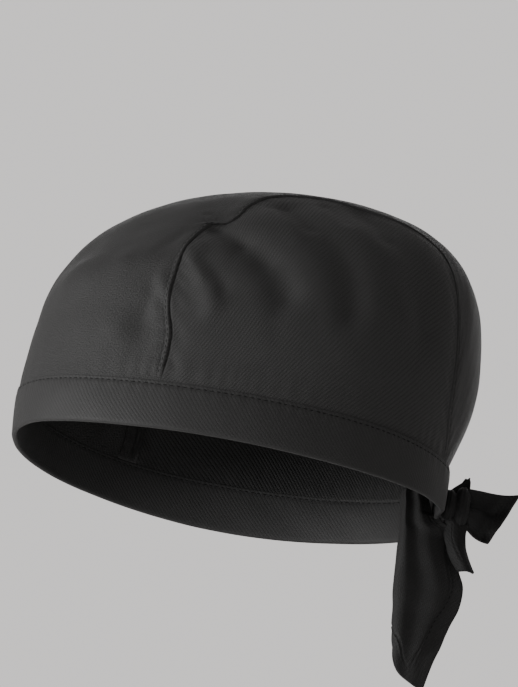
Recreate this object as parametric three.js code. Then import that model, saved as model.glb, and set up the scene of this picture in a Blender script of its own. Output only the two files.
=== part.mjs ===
import * as THREE from 'three';

// Head band, in millimetres. The cap's own frame has its origin in the middle of the head opening,
// +X to the wearer's left, +Y to the back of the head and +Z up along the cap.
const rimHalfLength = 106;
const rimHalfWidth = 84.5;
const bandHeight = 22.7;
const bandWall = 2.4;
// How far the band's top edge stands out past its rim, at the front, the back and the sides
const frontLean = 1.8;
const backLean = 0.2;
const sideLean = -2.1;
// The rim and the top edge rise and fall round the head: a saddle of two waves and one of three
const rimSaddle = 1.98;
const rimThirdWave = 0.45;
const topSaddle = 0.95;
const topThirdWave = 1;
// 2 is an ellipse, and more is squarer. The back half of the head opening is a little squarer.
const ellipse = 2;
const backSquareness = 2.16;

// Crown of three panels
const crownHeight = 125.7;
const crownLeanBack = 30;
const crownWall = 1.5;
const crownInset = 0.5;
const crownBackTuck = 1.8;
const foldDepth = 3;
// Over these shares of the disc's radius, from the foot in, the folds set in and the wall turns level
const foldFootRun = 0.06;
const wallFootRun = 0.12;

// Fit and wear
const seamGap = 0.35;
const wearTilt = THREE.MathUtils.degToRad(10.3);

// The band narrows and is drawn in over its last stretch before the knot
const bandEndRun = 24;
const bandEndTopDrop = 2.9;
const bandEndRimLift = 2.5;
const bandEndPull = 2.5;

// Knot at the back of the band, and what comes out of it
const knotHalfWidth = 9;
const knotHalfHeight = 10.2;
const knotDepth = 12.8;
const knotRaise = 1.5;
const knotNeckHalfWidth = 3.6;
const knotNeckHalfHeight = 5;
const tieWall = 1.9;
const tieBackLength = 23.6;
const tieBackRise = 4.2;
const tieBackDrop = 5;
const tieBackFootShare = 0.52;
const tieBackPleat = 2.4;
const tieBackPleatEndShare = 0.35;
const tieBackPleats = 3;
const tieBackSway = 3.2;
const tieBackSwayStart = 0.1;
const tieBackSwayTurns = 1.3;
const tieDropLength = 21.2;
const tieDropWidth = 9;
const tieDropEndShare = 0.5;
const tieDropBulge = 6;
const tieDropRootBulge = 2.6;
const tieDropLean = 9.6;
const tieDropOut = 3.2;
const tieDropPlace = 4.4;
const tieDropRootGap = 0.6;
const cornerHeight = 5.4;
const cornerWidth = 6;
const cornerPointShare = 0.13;
const cornerLean = 4.6;
const cornerPlace = 7;

// Tail that hangs from inside the back of the band, from tailTuck above the band's middle
const tailLength = 104.2;
const tailReach = 36;
const tailWall = 1.5;
const tailTuck = 15;

// Mesh steps
const bandSteps = 72;
const roundSteps = 3;
const seamRiseSteps = 12;
const seamTopSteps = 14;
const centreSteps = 20;
const tailDropSteps = 20;
const tailFarSteps = 5;
const tailNearSteps = 10;
const knotRoundSteps = 16;
const tieSteps = 7;
// The tail's columns are parted this share of the way from its fold line to its near edge
const tailPartShare = 0.1;
// The crown's slope is taken over this share of the disc's radius
const slopeStep = 0.004;
// The least sine of the angle between a mesh line and the seam that it is drawn in from
const leastCrossing = 0.5;

// Sections of the crown from its foot to its top, one for each 15 degrees of rise. Each length is a
// share of the same length at the foot.
const crownSections = [
  { front: 1.0, side: 1.0, back: 1.0 },
  { front: 1.058, side: 1.042, back: 0.992 },
  { front: 1.074, side: 1.016, back: 0.919 },
  { front: 0.954, side: 0.898, back: 0.806 },
  { front: 0.715, side: 0.671, back: 0.615 },
  { front: 0.38, side: 0.361, back: 0.332 },
  { front: 0, side: 0, back: 0 },
];

// The seam between the centre panel and a side panel, from the front of the band over the top to the
// back. The crown is laid out as a disc of radius 1, its foot the rim of the disc and its top the middle.
const seamFront = [
  { left: 0.91, front: 0.415 },
  { left: 0.805, front: 0.394 },
  { left: 0.7, front: 0.405 },
  { left: 0.608, front: 0.376 },
  { left: 0.52, front: 0.332 },
  { left: 0.452, front: 0.287 },
];
const seamTop = [
  { left: 0.452, front: 0.287 },
  { left: 0.448, front: 0.235 },
  { left: 0.38, front: 0.196 },
  { left: 0.31, front: 0.14 },
  { left: 0.3, front: -0.08 },
  { left: 0.317, front: -0.3 },
];
const seamBack = [
  { left: 0.317, front: -0.3 },
  { left: 0.467, front: -0.576 },
  { left: 0.5, front: -0.72 },
  { left: 0.399, front: -0.917 },
];

// Folds and dents of the crown on the same disc, from one place to another. Widths are shares of the
// disc's radius and depths shares of foldDepth, outwards positive. Each lies on both sides of the cap.
const crownFolds = [
  { name: 'brow hollow', left: 0.1, front: 0.665, toLeft: 0.45, toFront: 0.48, width: 0.075, depth: -0.75 },
  { name: 'cheek dent', left: 0.69, front: 0.505, toLeft: 0.71, toFront: 0.49, width: 0.06, depth: -0.8 },
  { name: 'front ridge', left: 0.56, front: 0.335, toLeft: 0.75, toFront: 0.27, width: 0.035, depth: 0.6 },
  { name: 'front valley', left: 0.49, front: 0.265, toLeft: 0.745, toFront: 0.05, width: 0.045, depth: -1 },
  { name: 'middle valley', left: 0.39, front: 0.12, toLeft: 0.73, toFront: -0.16, width: 0.045, depth: -0.8 },
  { name: 'rear valley', left: 0.36, front: -0.06, toLeft: 0.6, toFront: -0.43, width: 0.07, depth: -0.75 },
  { name: 'kink hollow', left: 0.36, front: 0.275, toLeft: 0.42, toFront: 0.25, width: 0.045, depth: -0.6 },
];

// Sections of the tail from its top edge to its tip. drop is a share of tailLength and the other
// lengths are shares of tailReach: fold is how far the fold line lies before the back of the band,
// reach how far the near edge lies behind the fold line, and spread how far each half stands out.
// start is where the far edge is on the section, from -1 through the fold line at 0 to the near
// edge at 1, and crease is 0 for a plain arc and 1 for the folded form.
const tailSections = [
  { drop: 0, fold: 0.02, reach: -0.14, spread: 0.6, start: -1, crease: 0 },
  { drop: 0.03, fold: 0.24, reach: 0.08, spread: 0.5, start: -1, crease: 0.3 },
  { drop: 0.065, fold: 0.44, reach: 0.32, spread: 0.36, start: -1, crease: 0.8 },
  { drop: 0.147, fold: 0.475, reach: 0.42, spread: 0.28, start: -0.97, crease: 1 },
  { drop: 0.225, fold: 0.492, reach: 0.47, spread: 0.24, start: -0.93, crease: 1 },
  { drop: 0.262, fold: 0.5, reach: 0.6, spread: 0.235, start: -0.91, crease: 1 },
  { drop: 0.3, fold: 0.508, reach: 0.635, spread: 0.23, start: -0.89, crease: 1 },
  { drop: 0.35, fold: 0.52, reach: 0.67, spread: 0.22, start: -0.85, crease: 1 },
  { drop: 0.442, fold: 0.545, reach: 0.81, spread: 0.2, start: -0.78, crease: 1 },
  { drop: 0.525, fold: 0.57, reach: 0.92, spread: 0.2, start: -0.71, crease: 1 },
  { drop: 0.625, fold: 0.59, reach: 0.89, spread: 0.19, start: -0.6, crease: 1 },
  { drop: 0.717, fold: 0.608, reach: 0.77, spread: 0.18, start: -0.38, crease: 1 },
  { drop: 0.805, fold: 0.62, reach: 0.66, spread: 0.16, start: 0, crease: 0.9 },
  { drop: 0.87, fold: 0.622, reach: 0.56, spread: 0.13, start: 0.17, crease: 0.75 },
  { drop: 0.935, fold: 0.625, reach: 0.48, spread: 0.1, start: 0.48, crease: 0.6 },
  { drop: 1, fold: 0.628, reach: 0.41, spread: 0.08, start: 0.93, crease: 0.5 },
];

// How far the folded tail stands out along one section: two ridges on the near half with a valley
// between them, and a plain far half. out is a share of the section's spread.
const tailProfile = [
  { along: -1, out: -0.9 },
  { along: -0.6, out: -0.95 },
  { along: -0.3, out: -0.7 },
  { along: 0, out: 0 },
  { along: 0.36, out: 1 },
  { along: 0.6, out: 0.6 },
  { along: 0.78, out: 0.85 },
  { along: 0.9, out: 0.35 },
  { along: 1, out: 0 },
];

// Sections of the knot from the band outwards: a first wrap, a crease and a taller second wrap.
// at is a share of knotDepth, and the others are shares of the knot's half sizes.
const knotSections = [
  { at: 0, width: 0.8, height: 0.6, lift: -0.02 },
  { at: 0.14, width: 0.98, height: 0.73, lift: -0.03 },
  { at: 0.35, width: 1, height: 0.76, lift: -0.03 },
  { at: 0.5, width: 0.88, height: 0.68, lift: -0.02 },
  { at: 0.6, width: 0.94, height: 0.9, lift: 0 },
  { at: 0.82, width: 0.94, height: 1, lift: 0.01 },
  { at: 1, width: 0.68, height: 0.8, lift: -0.03 },
];
const knotSquareness = 2.5;
// How far up the crown, as a share of the disc's radius, the knot's pull is felt
const knotPullRun = 0.2;

// A share between 0 and 1 that starts and ends level
function smoothStep(value) {
  const t = THREE.MathUtils.clamp(value, 0, 1);
  return t * t * (3 - 2 * t);
}

// A sine or cosine bent towards a squarer outline
function squared(value, squareness) {
  return Math.sign(value) * Math.abs(value) ** (2 / squareness);
}

// A smooth value between four evenly spaced ones, at t from 0 to 1 between the middle two
function between(before, from, to, after, t) {
  const rise = (to - before) / 2;
  const fall = (after - from) / 2;
  const a = 2 * (from - to) + rise + fall;
  const b = 3 * (to - from) - 2 * rise - fall;
  return ((a * t + b) * t + rise) * t + from;
}

// A column of a table with evenly spaced rows, at a share of the way down it. The row past the last
// mirrors the one before it, with the sign given.
function evenColumn(table, column, share, mirrorSign) {
  const last = table.length - 1;
  const place = THREE.MathUtils.clamp(share, 0, 1) * last;
  const row = Math.min(Math.floor(place), last - 1);
  const value = (i) => {
    if (i < 0) return 2 * table[0][column] - table[1][column];
    if (i > last) return mirrorSign * table[2 * last - i][column];
    return table[i][column];
  };
  return between(value(row - 1), value(row), value(row + 1), value(row + 2), place - row);
}

// A column of a table whose rows stand at the places in its key column
function keyedColumn(table, key, column, at) {
  let row = 0;
  while (row < table.length - 2 && table[row + 1][key] <= at) {
    row += 1;
  }
  const slope = (i) => {
    const low = table[Math.max(i - 1, 0)];
    const high = table[Math.min(i + 1, table.length - 1)];
    return (high[column] - low[column]) / (high[key] - low[key]);
  };
  const from = table[row];
  const to = table[row + 1];
  const span = to[key] - from[key];
  const t = THREE.MathUtils.clamp((at - from[key]) / span, 0, 1);
  const rise = slope(row) * span;
  const fall = slope(row + 1) * span;
  const a = 2 * (from[column] - to[column]) + rise + fall;
  const b = 3 * (to[column] - from[column]) - 2 * rise - fall;
  return ((a * t + b) * t + rise) * t + from[column];
}

// A closed body between two grids of points, rows by columns, that face each other
function closedSheet(outer, inner) {
  const rows = outer.length;
  const columns = outer[0].length;
  const position = [];
  for (const point of [...outer.flat(), ...inner.flat()]) {
    position.push(point.x, point.y, point.z);
  }
  const out = (r, c) => r * columns + c;
  const back = (r, c) => rows * columns + r * columns + c;
  const index = [];
  const quad = (a, b, c, d) => index.push(a, b, c, a, c, d);
  for (let r = 0; r < rows - 1; r += 1) {
    for (let c = 0; c < columns - 1; c += 1) {
      quad(out(r, c), out(r, c + 1), out(r + 1, c + 1), out(r + 1, c));
      quad(back(r, c), back(r + 1, c), back(r + 1, c + 1), back(r, c + 1));
    }
    quad(out(r + 1, 0), back(r + 1, 0), back(r, 0), out(r, 0));
    quad(out(r, columns - 1), back(r, columns - 1), back(r + 1, columns - 1), out(r + 1, columns - 1));
  }
  for (let c = 0; c < columns - 1; c += 1) {
    quad(out(0, c), back(0, c), back(0, c + 1), out(0, c + 1));
    quad(out(rows - 1, c + 1), back(rows - 1, c + 1), back(rows - 1, c), out(rows - 1, c));
  }
  return bodyFacingOut(position, index);
}

// A closed body through rings of points, with a flat end on the first and the last ring
function closedLoft(rings) {
  const size = rings[0].length;
  const position = [];
  for (const point of rings.flat()) {
    position.push(point.x, point.y, point.z);
  }
  const index = [];
  for (let r = 0; r < rings.length - 1; r += 1) {
    for (let k = 0; k < size; k += 1) {
      const next = (k + 1) % size;
      const low = r * size;
      const high = low + size;
      index.push(low + k, low + next, high + next, low + k, high + next, high + k);
    }
  }
  const end = (rings.length - 1) * size;
  for (let k = 1; k < size - 1; k += 1) {
    index.push(0, k + 1, k, end, end + k, end + k + 1);
  }
  return bodyFacingOut(position, index);
}

// The body with its faces turned outwards, which the sign of its volume tells
function bodyFacingOut(position, index) {
  const corner = (i) => new THREE.Vector3().fromArray(position, index[i] * 3);
  let volume = 0;
  for (let i = 0; i < index.length; i += 3) {
    volume += corner(i).dot(corner(i + 1).cross(corner(i + 2)));
  }
  if (volume < 0) {
    index.reverse();
  }
  const geometry = new THREE.BufferGeometry();
  geometry.setAttribute('position', new THREE.Float32BufferAttribute(position, 3));
  geometry.setIndex(index);
  geometry.computeVertexNormals();
  return geometry;
}

// The second face of a cloth: each point of the first moved by the wall across the sheet. The edge
// that the first row makes stays square to rootAxis, so that it meets what it comes out of.
function offsetGrid(grid, wall, rootAxis) {
  const rows = grid.length - 1;
  const columns = grid[0].length - 1;
  return grid.map((line, r) => line.map((point, c) => {
    const down = new THREE.Vector3().subVectors(grid[Math.min(r + 1, rows)][c], grid[Math.max(r - 1, 0)][c]);
    const across = new THREE.Vector3().subVectors(line[Math.min(c + 1, columns)], line[Math.max(c - 1, 0)]);
    const through = down.cross(across);
    if (r === 0) {
      through[rootAxis] = 0;
    }
    return point.clone().addScaledVector(through.normalize(), wall);
  }));
}

// A row of evenly spaced shares from 0 to 1
function shares(steps) {
  return Array.from({ length: steps + 1 }, (_, i) => i / steps);
}

// How much the knot draws in what is at a distance to the side of it: 1 beside it and 0 past the
// band's last stretch and on the front half, where the cosine is positive
function nearKnot(x, cosine) {
  return cosine < 0 ? 1 - smoothStep((Math.abs(x) - knotHalfWidth) / bandEndRun) : 0;
}

// A point on the band's outside. angle is 0 at the front and grows towards the wearer's left, and
// up is 0 at the rim and 1 at the top edge. It is moved in by inset and raised by lift.
function bandPoint(angle, up, inset, lift) {
  const s = Math.sin(angle);
  const c = Math.cos(angle);
  const squareness = c > 0 ? ellipse : backSquareness;
  const halfWidth = rimHalfWidth + sideLean * up;
  const reach = rimHalfLength + (c > 0 ? frontLean : backLean) * up;
  const x = halfWidth * squared(s, squareness);
  const y = -reach * squared(c, squareness);
  const saddle = THREE.MathUtils.lerp(rimSaddle, topSaddle, up) * Math.cos(2 * angle);
  const third = THREE.MathUtils.lerp(rimThirdWave, topThirdWave, up) * Math.cos(3 * angle);
  const pull = nearKnot(x, c);
  const pinch = pull * THREE.MathUtils.lerp(bandEndRimLift, -bandEndTopDrop, up);
  const outwards = new THREE.Vector2(x / halfWidth ** 2, y / reach ** 2).normalize();
  return new THREE.Vector3(
    x - outwards.x * inset,
    y - outwards.y * inset - bandEndPull * pull,
    bandHeight * up + saddle + third + pinch + lift,
  );
}

// The angle at which the band ends beside the knot's neck
function bandEndAngle() {
  const share = (knotNeckHalfWidth + seamGap) / (rimHalfWidth + Math.min(sideLean, 0));
  return Math.PI - Math.asin(share ** (backSquareness / 2));
}

// The band: folded cloth with a rounded rim and top edge, open where the knot's neck passes
function bandGeometry() {
  const radius = bandWall / 2;
  const end = bandEndAngle();
  const rings = shares(bandSteps).map((share) => {
    const angle = THREE.MathUtils.lerp(-end, end, share);
    const ring = [];
    for (const turn of shares(roundSteps)) {
      const bend = turn * Math.PI;
      ring.push(bandPoint(angle, 0, radius - radius * Math.cos(bend), radius - radius * Math.sin(bend)));
    }
    for (const turn of shares(roundSteps)) {
      const bend = turn * Math.PI;
      ring.push(bandPoint(angle, 1, radius + radius * Math.cos(bend), radius * Math.sin(bend) - radius));
    }
    return ring;
  });
  return closedLoft(rings);
}

// How far the crown's cloth stands out of its plain form at a place on the disc
function crownRelief(left, front) {
  const side = Math.abs(left);
  let relief = 0;
  for (const fold of crownFolds) {
    const run = new THREE.Vector2(fold.toLeft - fold.left, fold.toFront - fold.front);
    const from = new THREE.Vector2(side - fold.left, front - fold.front);
    const along = THREE.MathUtils.clamp(from.dot(run) / run.lengthSq(), 0, 1);
    const away = from.addScaledVector(run, -along).length() / fold.width;
    relief += fold.depth * foldDepth * Math.exp(-away * away);
  }
  return relief * smoothStep((1 - Math.hypot(left, front)) / foldFootRun);
}

// The crown's plain form at a place on the disc
function crownForm(left, front) {
  const radius = Math.min(Math.hypot(left, front), 1);
  const angle = Math.atan2(left, front);
  const s = Math.sin(angle);
  const c = Math.cos(angle);
  const up = 1 - radius;
  const rise = Math.sin((up * Math.PI) / 2);
  const squareness = c > 0 ? ellipse : THREE.MathUtils.lerp(ellipse, backSquareness, radius);
  const footFront = rimHalfLength + frontLean - crownInset;
  const footBack = rimHalfLength + backLean - crownInset - crownBackTuck;
  const footSide = rimHalfWidth + sideLean - crownInset;
  const frontReach = footFront * evenColumn(crownSections, 'front', up, -1);
  const backReach = footBack * evenColumn(crownSections, 'back', up, -1);
  const sideReach = footSide * evenColumn(crownSections, 'side', up, -1);
  const reach = THREE.MathUtils.lerp(backReach, frontReach, smoothStep((1 + c) / 2));
  const wave = topSaddle * Math.cos(2 * angle) + topThirdWave * Math.cos(3 * angle);
  const x = sideReach * squared(s, squareness);
  const pull = nearKnot(x, c) * (1 - smoothStep(up / knotPullRun));
  return new THREE.Vector3(
    x,
    crownLeanBack * rise - reach * squared(c, squareness) - bandEndPull * pull,
    bandHeight + seamGap + wave * (1 - rise) + crownHeight * rise - bandEndTopDrop * pull,
  );
}

// A point of the crown's cloth, at a depth below its outside. The wall is level at the foot, so that
// it stands clear of the band's top edge.
function crownPoint(left, front, depth) {
  const radius = Math.hypot(left, front);
  const shrink = Math.min((1 - slopeStep) / Math.max(radius, slopeStep), 1);
  const p = left * shrink;
  const q = front * shrink;
  const acrossLeft = crownForm(p + slopeStep, q).sub(crownForm(p - slopeStep, q));
  const acrossFront = crownForm(p, q + slopeStep).sub(crownForm(p, q - slopeStep));
  const outwards = acrossFront.cross(acrossLeft);
  outwards.z *= smoothStep((1 - radius) / wallFootRun);
  outwards.normalize();
  return crownForm(left, front).addScaledVector(outwards, crownRelief(left, front) - depth);
}

// Places along one stretch of the seam, evenly spaced
function seamPlaces(table, steps) {
  const points = table.map((row) => new THREE.Vector3(row.left, row.front, 0));
  return new THREE.CatmullRomCurve3(points, false, 'centripetal').getSpacedPoints(steps);
}

// Places along the crown's foot, from one angle to another
function footPlaces(fromAngle, toAngle, steps) {
  return shares(steps).map((share) => {
    const angle = THREE.MathUtils.lerp(fromAngle, toAngle, share);
    return new THREE.Vector3(Math.sin(angle), Math.cos(angle), 0);
  });
}

// Places that fill the space between four edges. low and high run the same way, and so do first and last.
function patchPlaces(low, high, first, last) {
  const rows = first.length - 1;
  const columns = low.length - 1;
  return first.map((_, r) => low.map((__, c) => {
    const up = r / rows;
    const along = c / columns;
    const place = new THREE.Vector3();
    place.addScaledVector(low[c], 1 - up).addScaledVector(high[c], up);
    place.addScaledVector(first[r], 1 - along).addScaledVector(last[r], along);
    place.addScaledVector(low[0], -(1 - up) * (1 - along)).addScaledVector(low[columns], -(1 - up) * along);
    place.addScaledVector(high[0], -up * (1 - along)).addScaledVector(high[columns], -up * along);
    return place;
  }));
}

// Moves one edge point of a grid towards its inner neighbour until it is half a seam gap from the seam
function drawIn(point, neighbour, before, after) {
  const inwards = new THREE.Vector3().subVectors(neighbour, point);
  const seam = new THREE.Vector3().subVectors(after, before).normalize();
  const length = inwards.length();
  const crossing = Math.max(inwards.clone().cross(seam).length() / length, leastCrossing);
  return point.clone().addScaledVector(inwards, seamGap / 2 / crossing / length);
}

// Draws in the edges of a grid that lie on the seam: its first and last columns, and its last row
function drawInEdges(grid, edges) {
  const rows = grid.length - 1;
  const columns = grid[0].length - 1;
  return grid.map((line, r) => line.map((point, c) => {
    const before = grid[Math.max(r - 1, 0)];
    const after = grid[Math.min(r + 1, rows)];
    let moved = point;
    if (edges.sides && c === 0) {
      moved = drawIn(moved, line[1], before[0], after[0]);
    }
    if (edges.sides && c === columns) {
      moved = drawIn(moved, line[columns - 1], before[columns], after[columns]);
    }
    if (edges.top && r === rows) {
      moved = drawIn(moved, grid[rows - 1][c], line[Math.max(c - 1, 0)], line[Math.min(c + 1, columns)]);
    }
    return moved;
  }));
}

// The closed body of one panel of the crown, from its places on the disc
function panelGeometry(places, edges, side) {
  const face = (depth) => drawInEdges(
    places.map((line) => line.map((place) => crownPoint(place.x * side, place.y, depth))),
    edges,
  );
  return closedSheet(face(0), face(crownWall));
}

const seamRise = seamPlaces(seamFront, seamRiseSteps);
const seamOver = seamPlaces(seamTop, seamTopSteps);
const seamFall = seamPlaces(seamBack, seamRiseSteps);
const frontAngle = Math.atan2(seamRise[0].x, seamRise[0].y);
const backAngle = Math.atan2(seamFall[seamRiseSteps].x, seamFall[seamRiseSteps].y);

// A side panel: its foot along the band, its other three edges along the seam
function sidePanelGeometry(side) {
  const foot = footPlaces(frontAngle, backAngle, seamTopSteps);
  const places = patchPlaces(foot, seamOver, seamRise, [...seamFall].reverse());
  return panelGeometry(places, { sides: true, top: true }, side);
}

// The centre panel, from the band's front over the top to its back, between the two seams
function centrePanelGeometry() {
  const seam = [...seamRise, ...seamOver.slice(1), ...seamFall.slice(1)];
  const mirrored = seam.map((place) => new THREE.Vector3(-place.x, place.y, 0));
  const front = footPlaces(-frontAngle, frontAngle, centreSteps);
  const back = footPlaces(2 * Math.PI - backAngle, backAngle, centreSteps);
  const places = patchPlaces(front, back, mirrored, seam);
  return panelGeometry(places, { sides: true, top: false }, 1);
}

// The tail's shape, measured from the middle of the band's back
function tailGeometry() {
  const face = shares(tailDropSteps).map((drop) => {
    const section = (column) => keyedColumn(tailSections, 'drop', column, drop);
    const start = section('start');
    const crease = section('crease');
    const part = THREE.MathUtils.lerp(Math.max(start, 0), 1, tailPartShare);
    const far = shares(tailFarSteps).slice(0, -1).map((share) => THREE.MathUtils.lerp(start, part, share));
    const near = shares(tailNearSteps).map((share) => THREE.MathUtils.lerp(part, 1, share));
    return [...far, ...near].map((along) => {
      const out = THREE.MathUtils.lerp(along, keyedColumn(tailProfile, 'along', 'out', along), crease);
      return new THREE.Vector3(
        tailReach * section('spread') * out,
        tailReach * (section('reach') * along * along - section('fold')),
        -tailLength * drop,
      );
    });
  });
  return closedSheet(face, offsetGrid(face, tailWall, 'z'));
}

// One ring of the knot, squarer than an ellipse
function knotRing(halfWidth, halfHeight, y, z) {
  return Array.from({ length: knotRoundSteps }, (_, k) => {
    const angle = (k / knotRoundSteps) * 2 * Math.PI;
    const x = halfWidth * squared(Math.cos(angle), knotSquareness);
    return new THREE.Vector3(x, y, z + halfHeight * squared(Math.sin(angle), knotSquareness));
  });
}

// The knot, measured from its face on the band. Its neck passes between the band's ends.
function knotGeometry() {
  const neckDepth = bandWall + seamGap;
  const neck = [-neckDepth, 0].map((y) => knotRing(knotNeckHalfWidth, knotNeckHalfHeight, y, 0));
  const wraps = knotSections.map((section) => knotRing(
    knotHalfWidth * section.width,
    knotHalfHeight * section.height,
    knotDepth * section.at,
    knotHalfHeight * section.lift,
  ));
  return closedLoft([...neck, ...wraps]);
}

// The tie end that stands out behind the knot, flaring from its pleated root to its cut end. Its foot
// edge is shorter than its top edge.
function tieBackGeometry() {
  const root = knotSections[knotSections.length - 1];
  const top = knotHalfHeight * (root.height + root.lift);
  const foot = knotHalfHeight * (root.lift - root.height);
  const face = shares(tieSteps).map((out) => {
    const pleat = tieBackPleat * THREE.MathUtils.lerp(1, tieBackPleatEndShare, out);
    const sway = tieBackSway * Math.cos(Math.PI * (tieBackSwayStart + tieBackSwayTurns * out));
    return shares(tieSteps).map((down) => new THREE.Vector3(
      sway + pleat * Math.cos(tieBackPleats * Math.PI * down),
      tieBackLength * out * THREE.MathUtils.lerp(1, tieBackFootShare, down),
      THREE.MathUtils.lerp(top + tieBackRise * out, foot - tieBackDrop * out, down),
    ));
  });
  return closedSheet(face, offsetGrid(face, tieWall, 'y'));
}

// The height of the knot's foot at a place on it, measured as the knot is
function knotFootAt(x, y) {
  const section = (column) => keyedColumn(knotSections, 'at', column, y / knotDepth);
  const across = Math.min(Math.abs(x) / (knotHalfWidth * section('width')), 1);
  const bow = (1 - across ** knotSquareness) ** (1 / knotSquareness);
  return knotHalfHeight * (section('lift') - section('height') * bow);
}

// The tie end that hangs from the foot of the knot, folded along its middle and narrowing downwards. It
// is measured as the knot is, and its root follows the knot's foot.
function tieDropGeometry() {
  const face = shares(tieSteps).map((down) => shares(tieSteps).map((across) => {
    const bulge = THREE.MathUtils.lerp(tieDropRootBulge, tieDropBulge, down);
    const width = tieDropWidth * THREE.MathUtils.lerp(1, tieDropEndShare, down);
    const x = tieDropOut * down + bulge * (1 - (2 * across - 1) ** 2);
    const y = tieDropPlace + tieDropLean * down * down + width * across;
    const root = knotFootAt(x, y) - tieDropRootGap;
    return new THREE.Vector3(x, y, THREE.MathUtils.lerp(root, -knotHalfHeight - tieDropLength, down));
  }));
  return closedSheet(face, offsetGrid(face, tieWall, 'z'));
}

// The corner of cloth that stands up out of the knot
function cornerGeometry() {
  const face = shares(2).map((up) => shares(2).map((across) => new THREE.Vector3(
    0,
    cornerWidth * THREE.MathUtils.lerp(1, cornerPointShare, up) * across + cornerLean * up,
    cornerHeight * up,
  )));
  return closedSheet(face, offsetGrid(face, tieWall, 'z'));
}

function clothMesh(name, geometry, colour) {
  const material = new THREE.MeshStandardMaterial({ color: colour, roughness: 0.88, metalness: 0 });
  const mesh = new THREE.Mesh(geometry, material);
  mesh.name = name;
  return mesh;
}

const charcoal = 0x2b2b2c;
const charcoalInside = 0x262627;

// The cap as it is worn, with its front raised
const cap = new THREE.Group();
cap.rotation.x = -wearTilt;
cap.add(clothMesh('head_band', bandGeometry(), charcoal));
cap.add(clothMesh('crown_centre_panel', centrePanelGeometry(), charcoal));
cap.add(clothMesh('crown_side_panel_left', sidePanelGeometry(1), charcoal));
cap.add(clothMesh('crown_side_panel_right', sidePanelGeometry(-1), charcoal));

// The knot and its ends, set against the middle of the band's back
const bandBack = rimHalfLength + Math.max(backLean, 0) - bandEndPull;
const knotFace = bandBack + seamGap;
const knotMiddle = bandHeight / 2 + knotRaise;
const knotTop = knotMiddle + knotHalfHeight * Math.max(...knotSections.map((row) => row.lift + row.height));

const knot = clothMesh('knot', knotGeometry(), charcoalInside);
knot.position.set(0, knotFace, knotMiddle);

const tieBack = clothMesh('tie_end_back', tieBackGeometry(), charcoalInside);
tieBack.position.set(0, knotFace + knotDepth + seamGap, knotMiddle);

const tieDrop = clothMesh('tie_end_hanging', tieDropGeometry(), charcoalInside);
tieDrop.position.set(0, knotFace, knotMiddle);

const corner = clothMesh('knot_corner', cornerGeometry(), charcoalInside);
corner.position.set(0, knotFace + cornerPlace, knotTop + seamGap);

cap.add(knot, tieBack, tieDrop, corner);

// The tail hangs upright from inside the back of the band
const tail = clothMesh('tail', tailGeometry(), charcoal);
const bandInside = new THREE.Vector3(0, bandBack - bandWall, bandHeight / 2).applyEuler(cap.rotation);
tail.position.set(0, bandInside.y - seamGap, bandInside.z + tailTuck);

const hat = new THREE.Group();
hat.add(cap, tail);

export default hat;
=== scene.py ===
"""Dresses the cook's skull cap: band, crown of three panels, knotted tie, tail, seams and stitches."""
import logging
import math
from dataclasses import dataclass, field
from enum import Enum
from typing import Any, Callable, Sequence

import bpy
import numpy as np
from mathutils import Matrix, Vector


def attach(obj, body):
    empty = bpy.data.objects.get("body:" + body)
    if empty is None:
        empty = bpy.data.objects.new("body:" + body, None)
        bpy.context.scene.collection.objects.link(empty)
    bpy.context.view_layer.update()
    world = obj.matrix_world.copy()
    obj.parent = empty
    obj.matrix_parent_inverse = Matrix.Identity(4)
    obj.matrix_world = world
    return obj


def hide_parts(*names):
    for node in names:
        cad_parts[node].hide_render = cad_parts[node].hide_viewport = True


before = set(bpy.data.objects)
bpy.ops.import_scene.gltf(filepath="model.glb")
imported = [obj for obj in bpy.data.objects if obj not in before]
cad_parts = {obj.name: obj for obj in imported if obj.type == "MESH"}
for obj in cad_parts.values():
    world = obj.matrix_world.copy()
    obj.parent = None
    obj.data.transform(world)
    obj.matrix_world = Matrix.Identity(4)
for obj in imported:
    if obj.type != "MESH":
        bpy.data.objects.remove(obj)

LOG = logging.getLogger("cap")
METRES = 0.001  # metres in a millimetre
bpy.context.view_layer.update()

# Wear and fit, in millimetres unless a name says otherwise, as the solids have them
WEAR_TILT = math.radians(10.3)
SEAM_GAP = 0.35
ELLIPSE = 2.0

Array = np.ndarray


class Slot(Enum):
    """The record's material slots."""

    CAP = "cap_twill"
    TIE = "tie_twill"


def smooth_step(value: Array) -> Array:
    """A share between 0 and 1 that starts and ends level."""
    t = np.clip(value, 0.0, 1.0)
    return t * t * (3 - 2 * t)


def squared(value: Array, squareness: Array | float) -> Array:
    """A sine or cosine bent towards a squarer outline."""
    return np.sign(value) * np.abs(value) ** (2.0 / squareness)


def lerp(low: Any, high: Any, share: Any) -> Any:
    """The value at a share of the way from low to high."""
    return low + (high - low) * share


def unit(vectors: Array) -> Array:
    """Vectors scaled to length 1."""
    return vectors / np.maximum(np.linalg.norm(vectors, axis=-1, keepdims=True), 1e-12)


def bump(distance: Array, width: float) -> Array:
    """A soft rise that is 1 where distance is 0 and fades out past width."""
    return np.exp(-((distance / width) ** 2))


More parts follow.
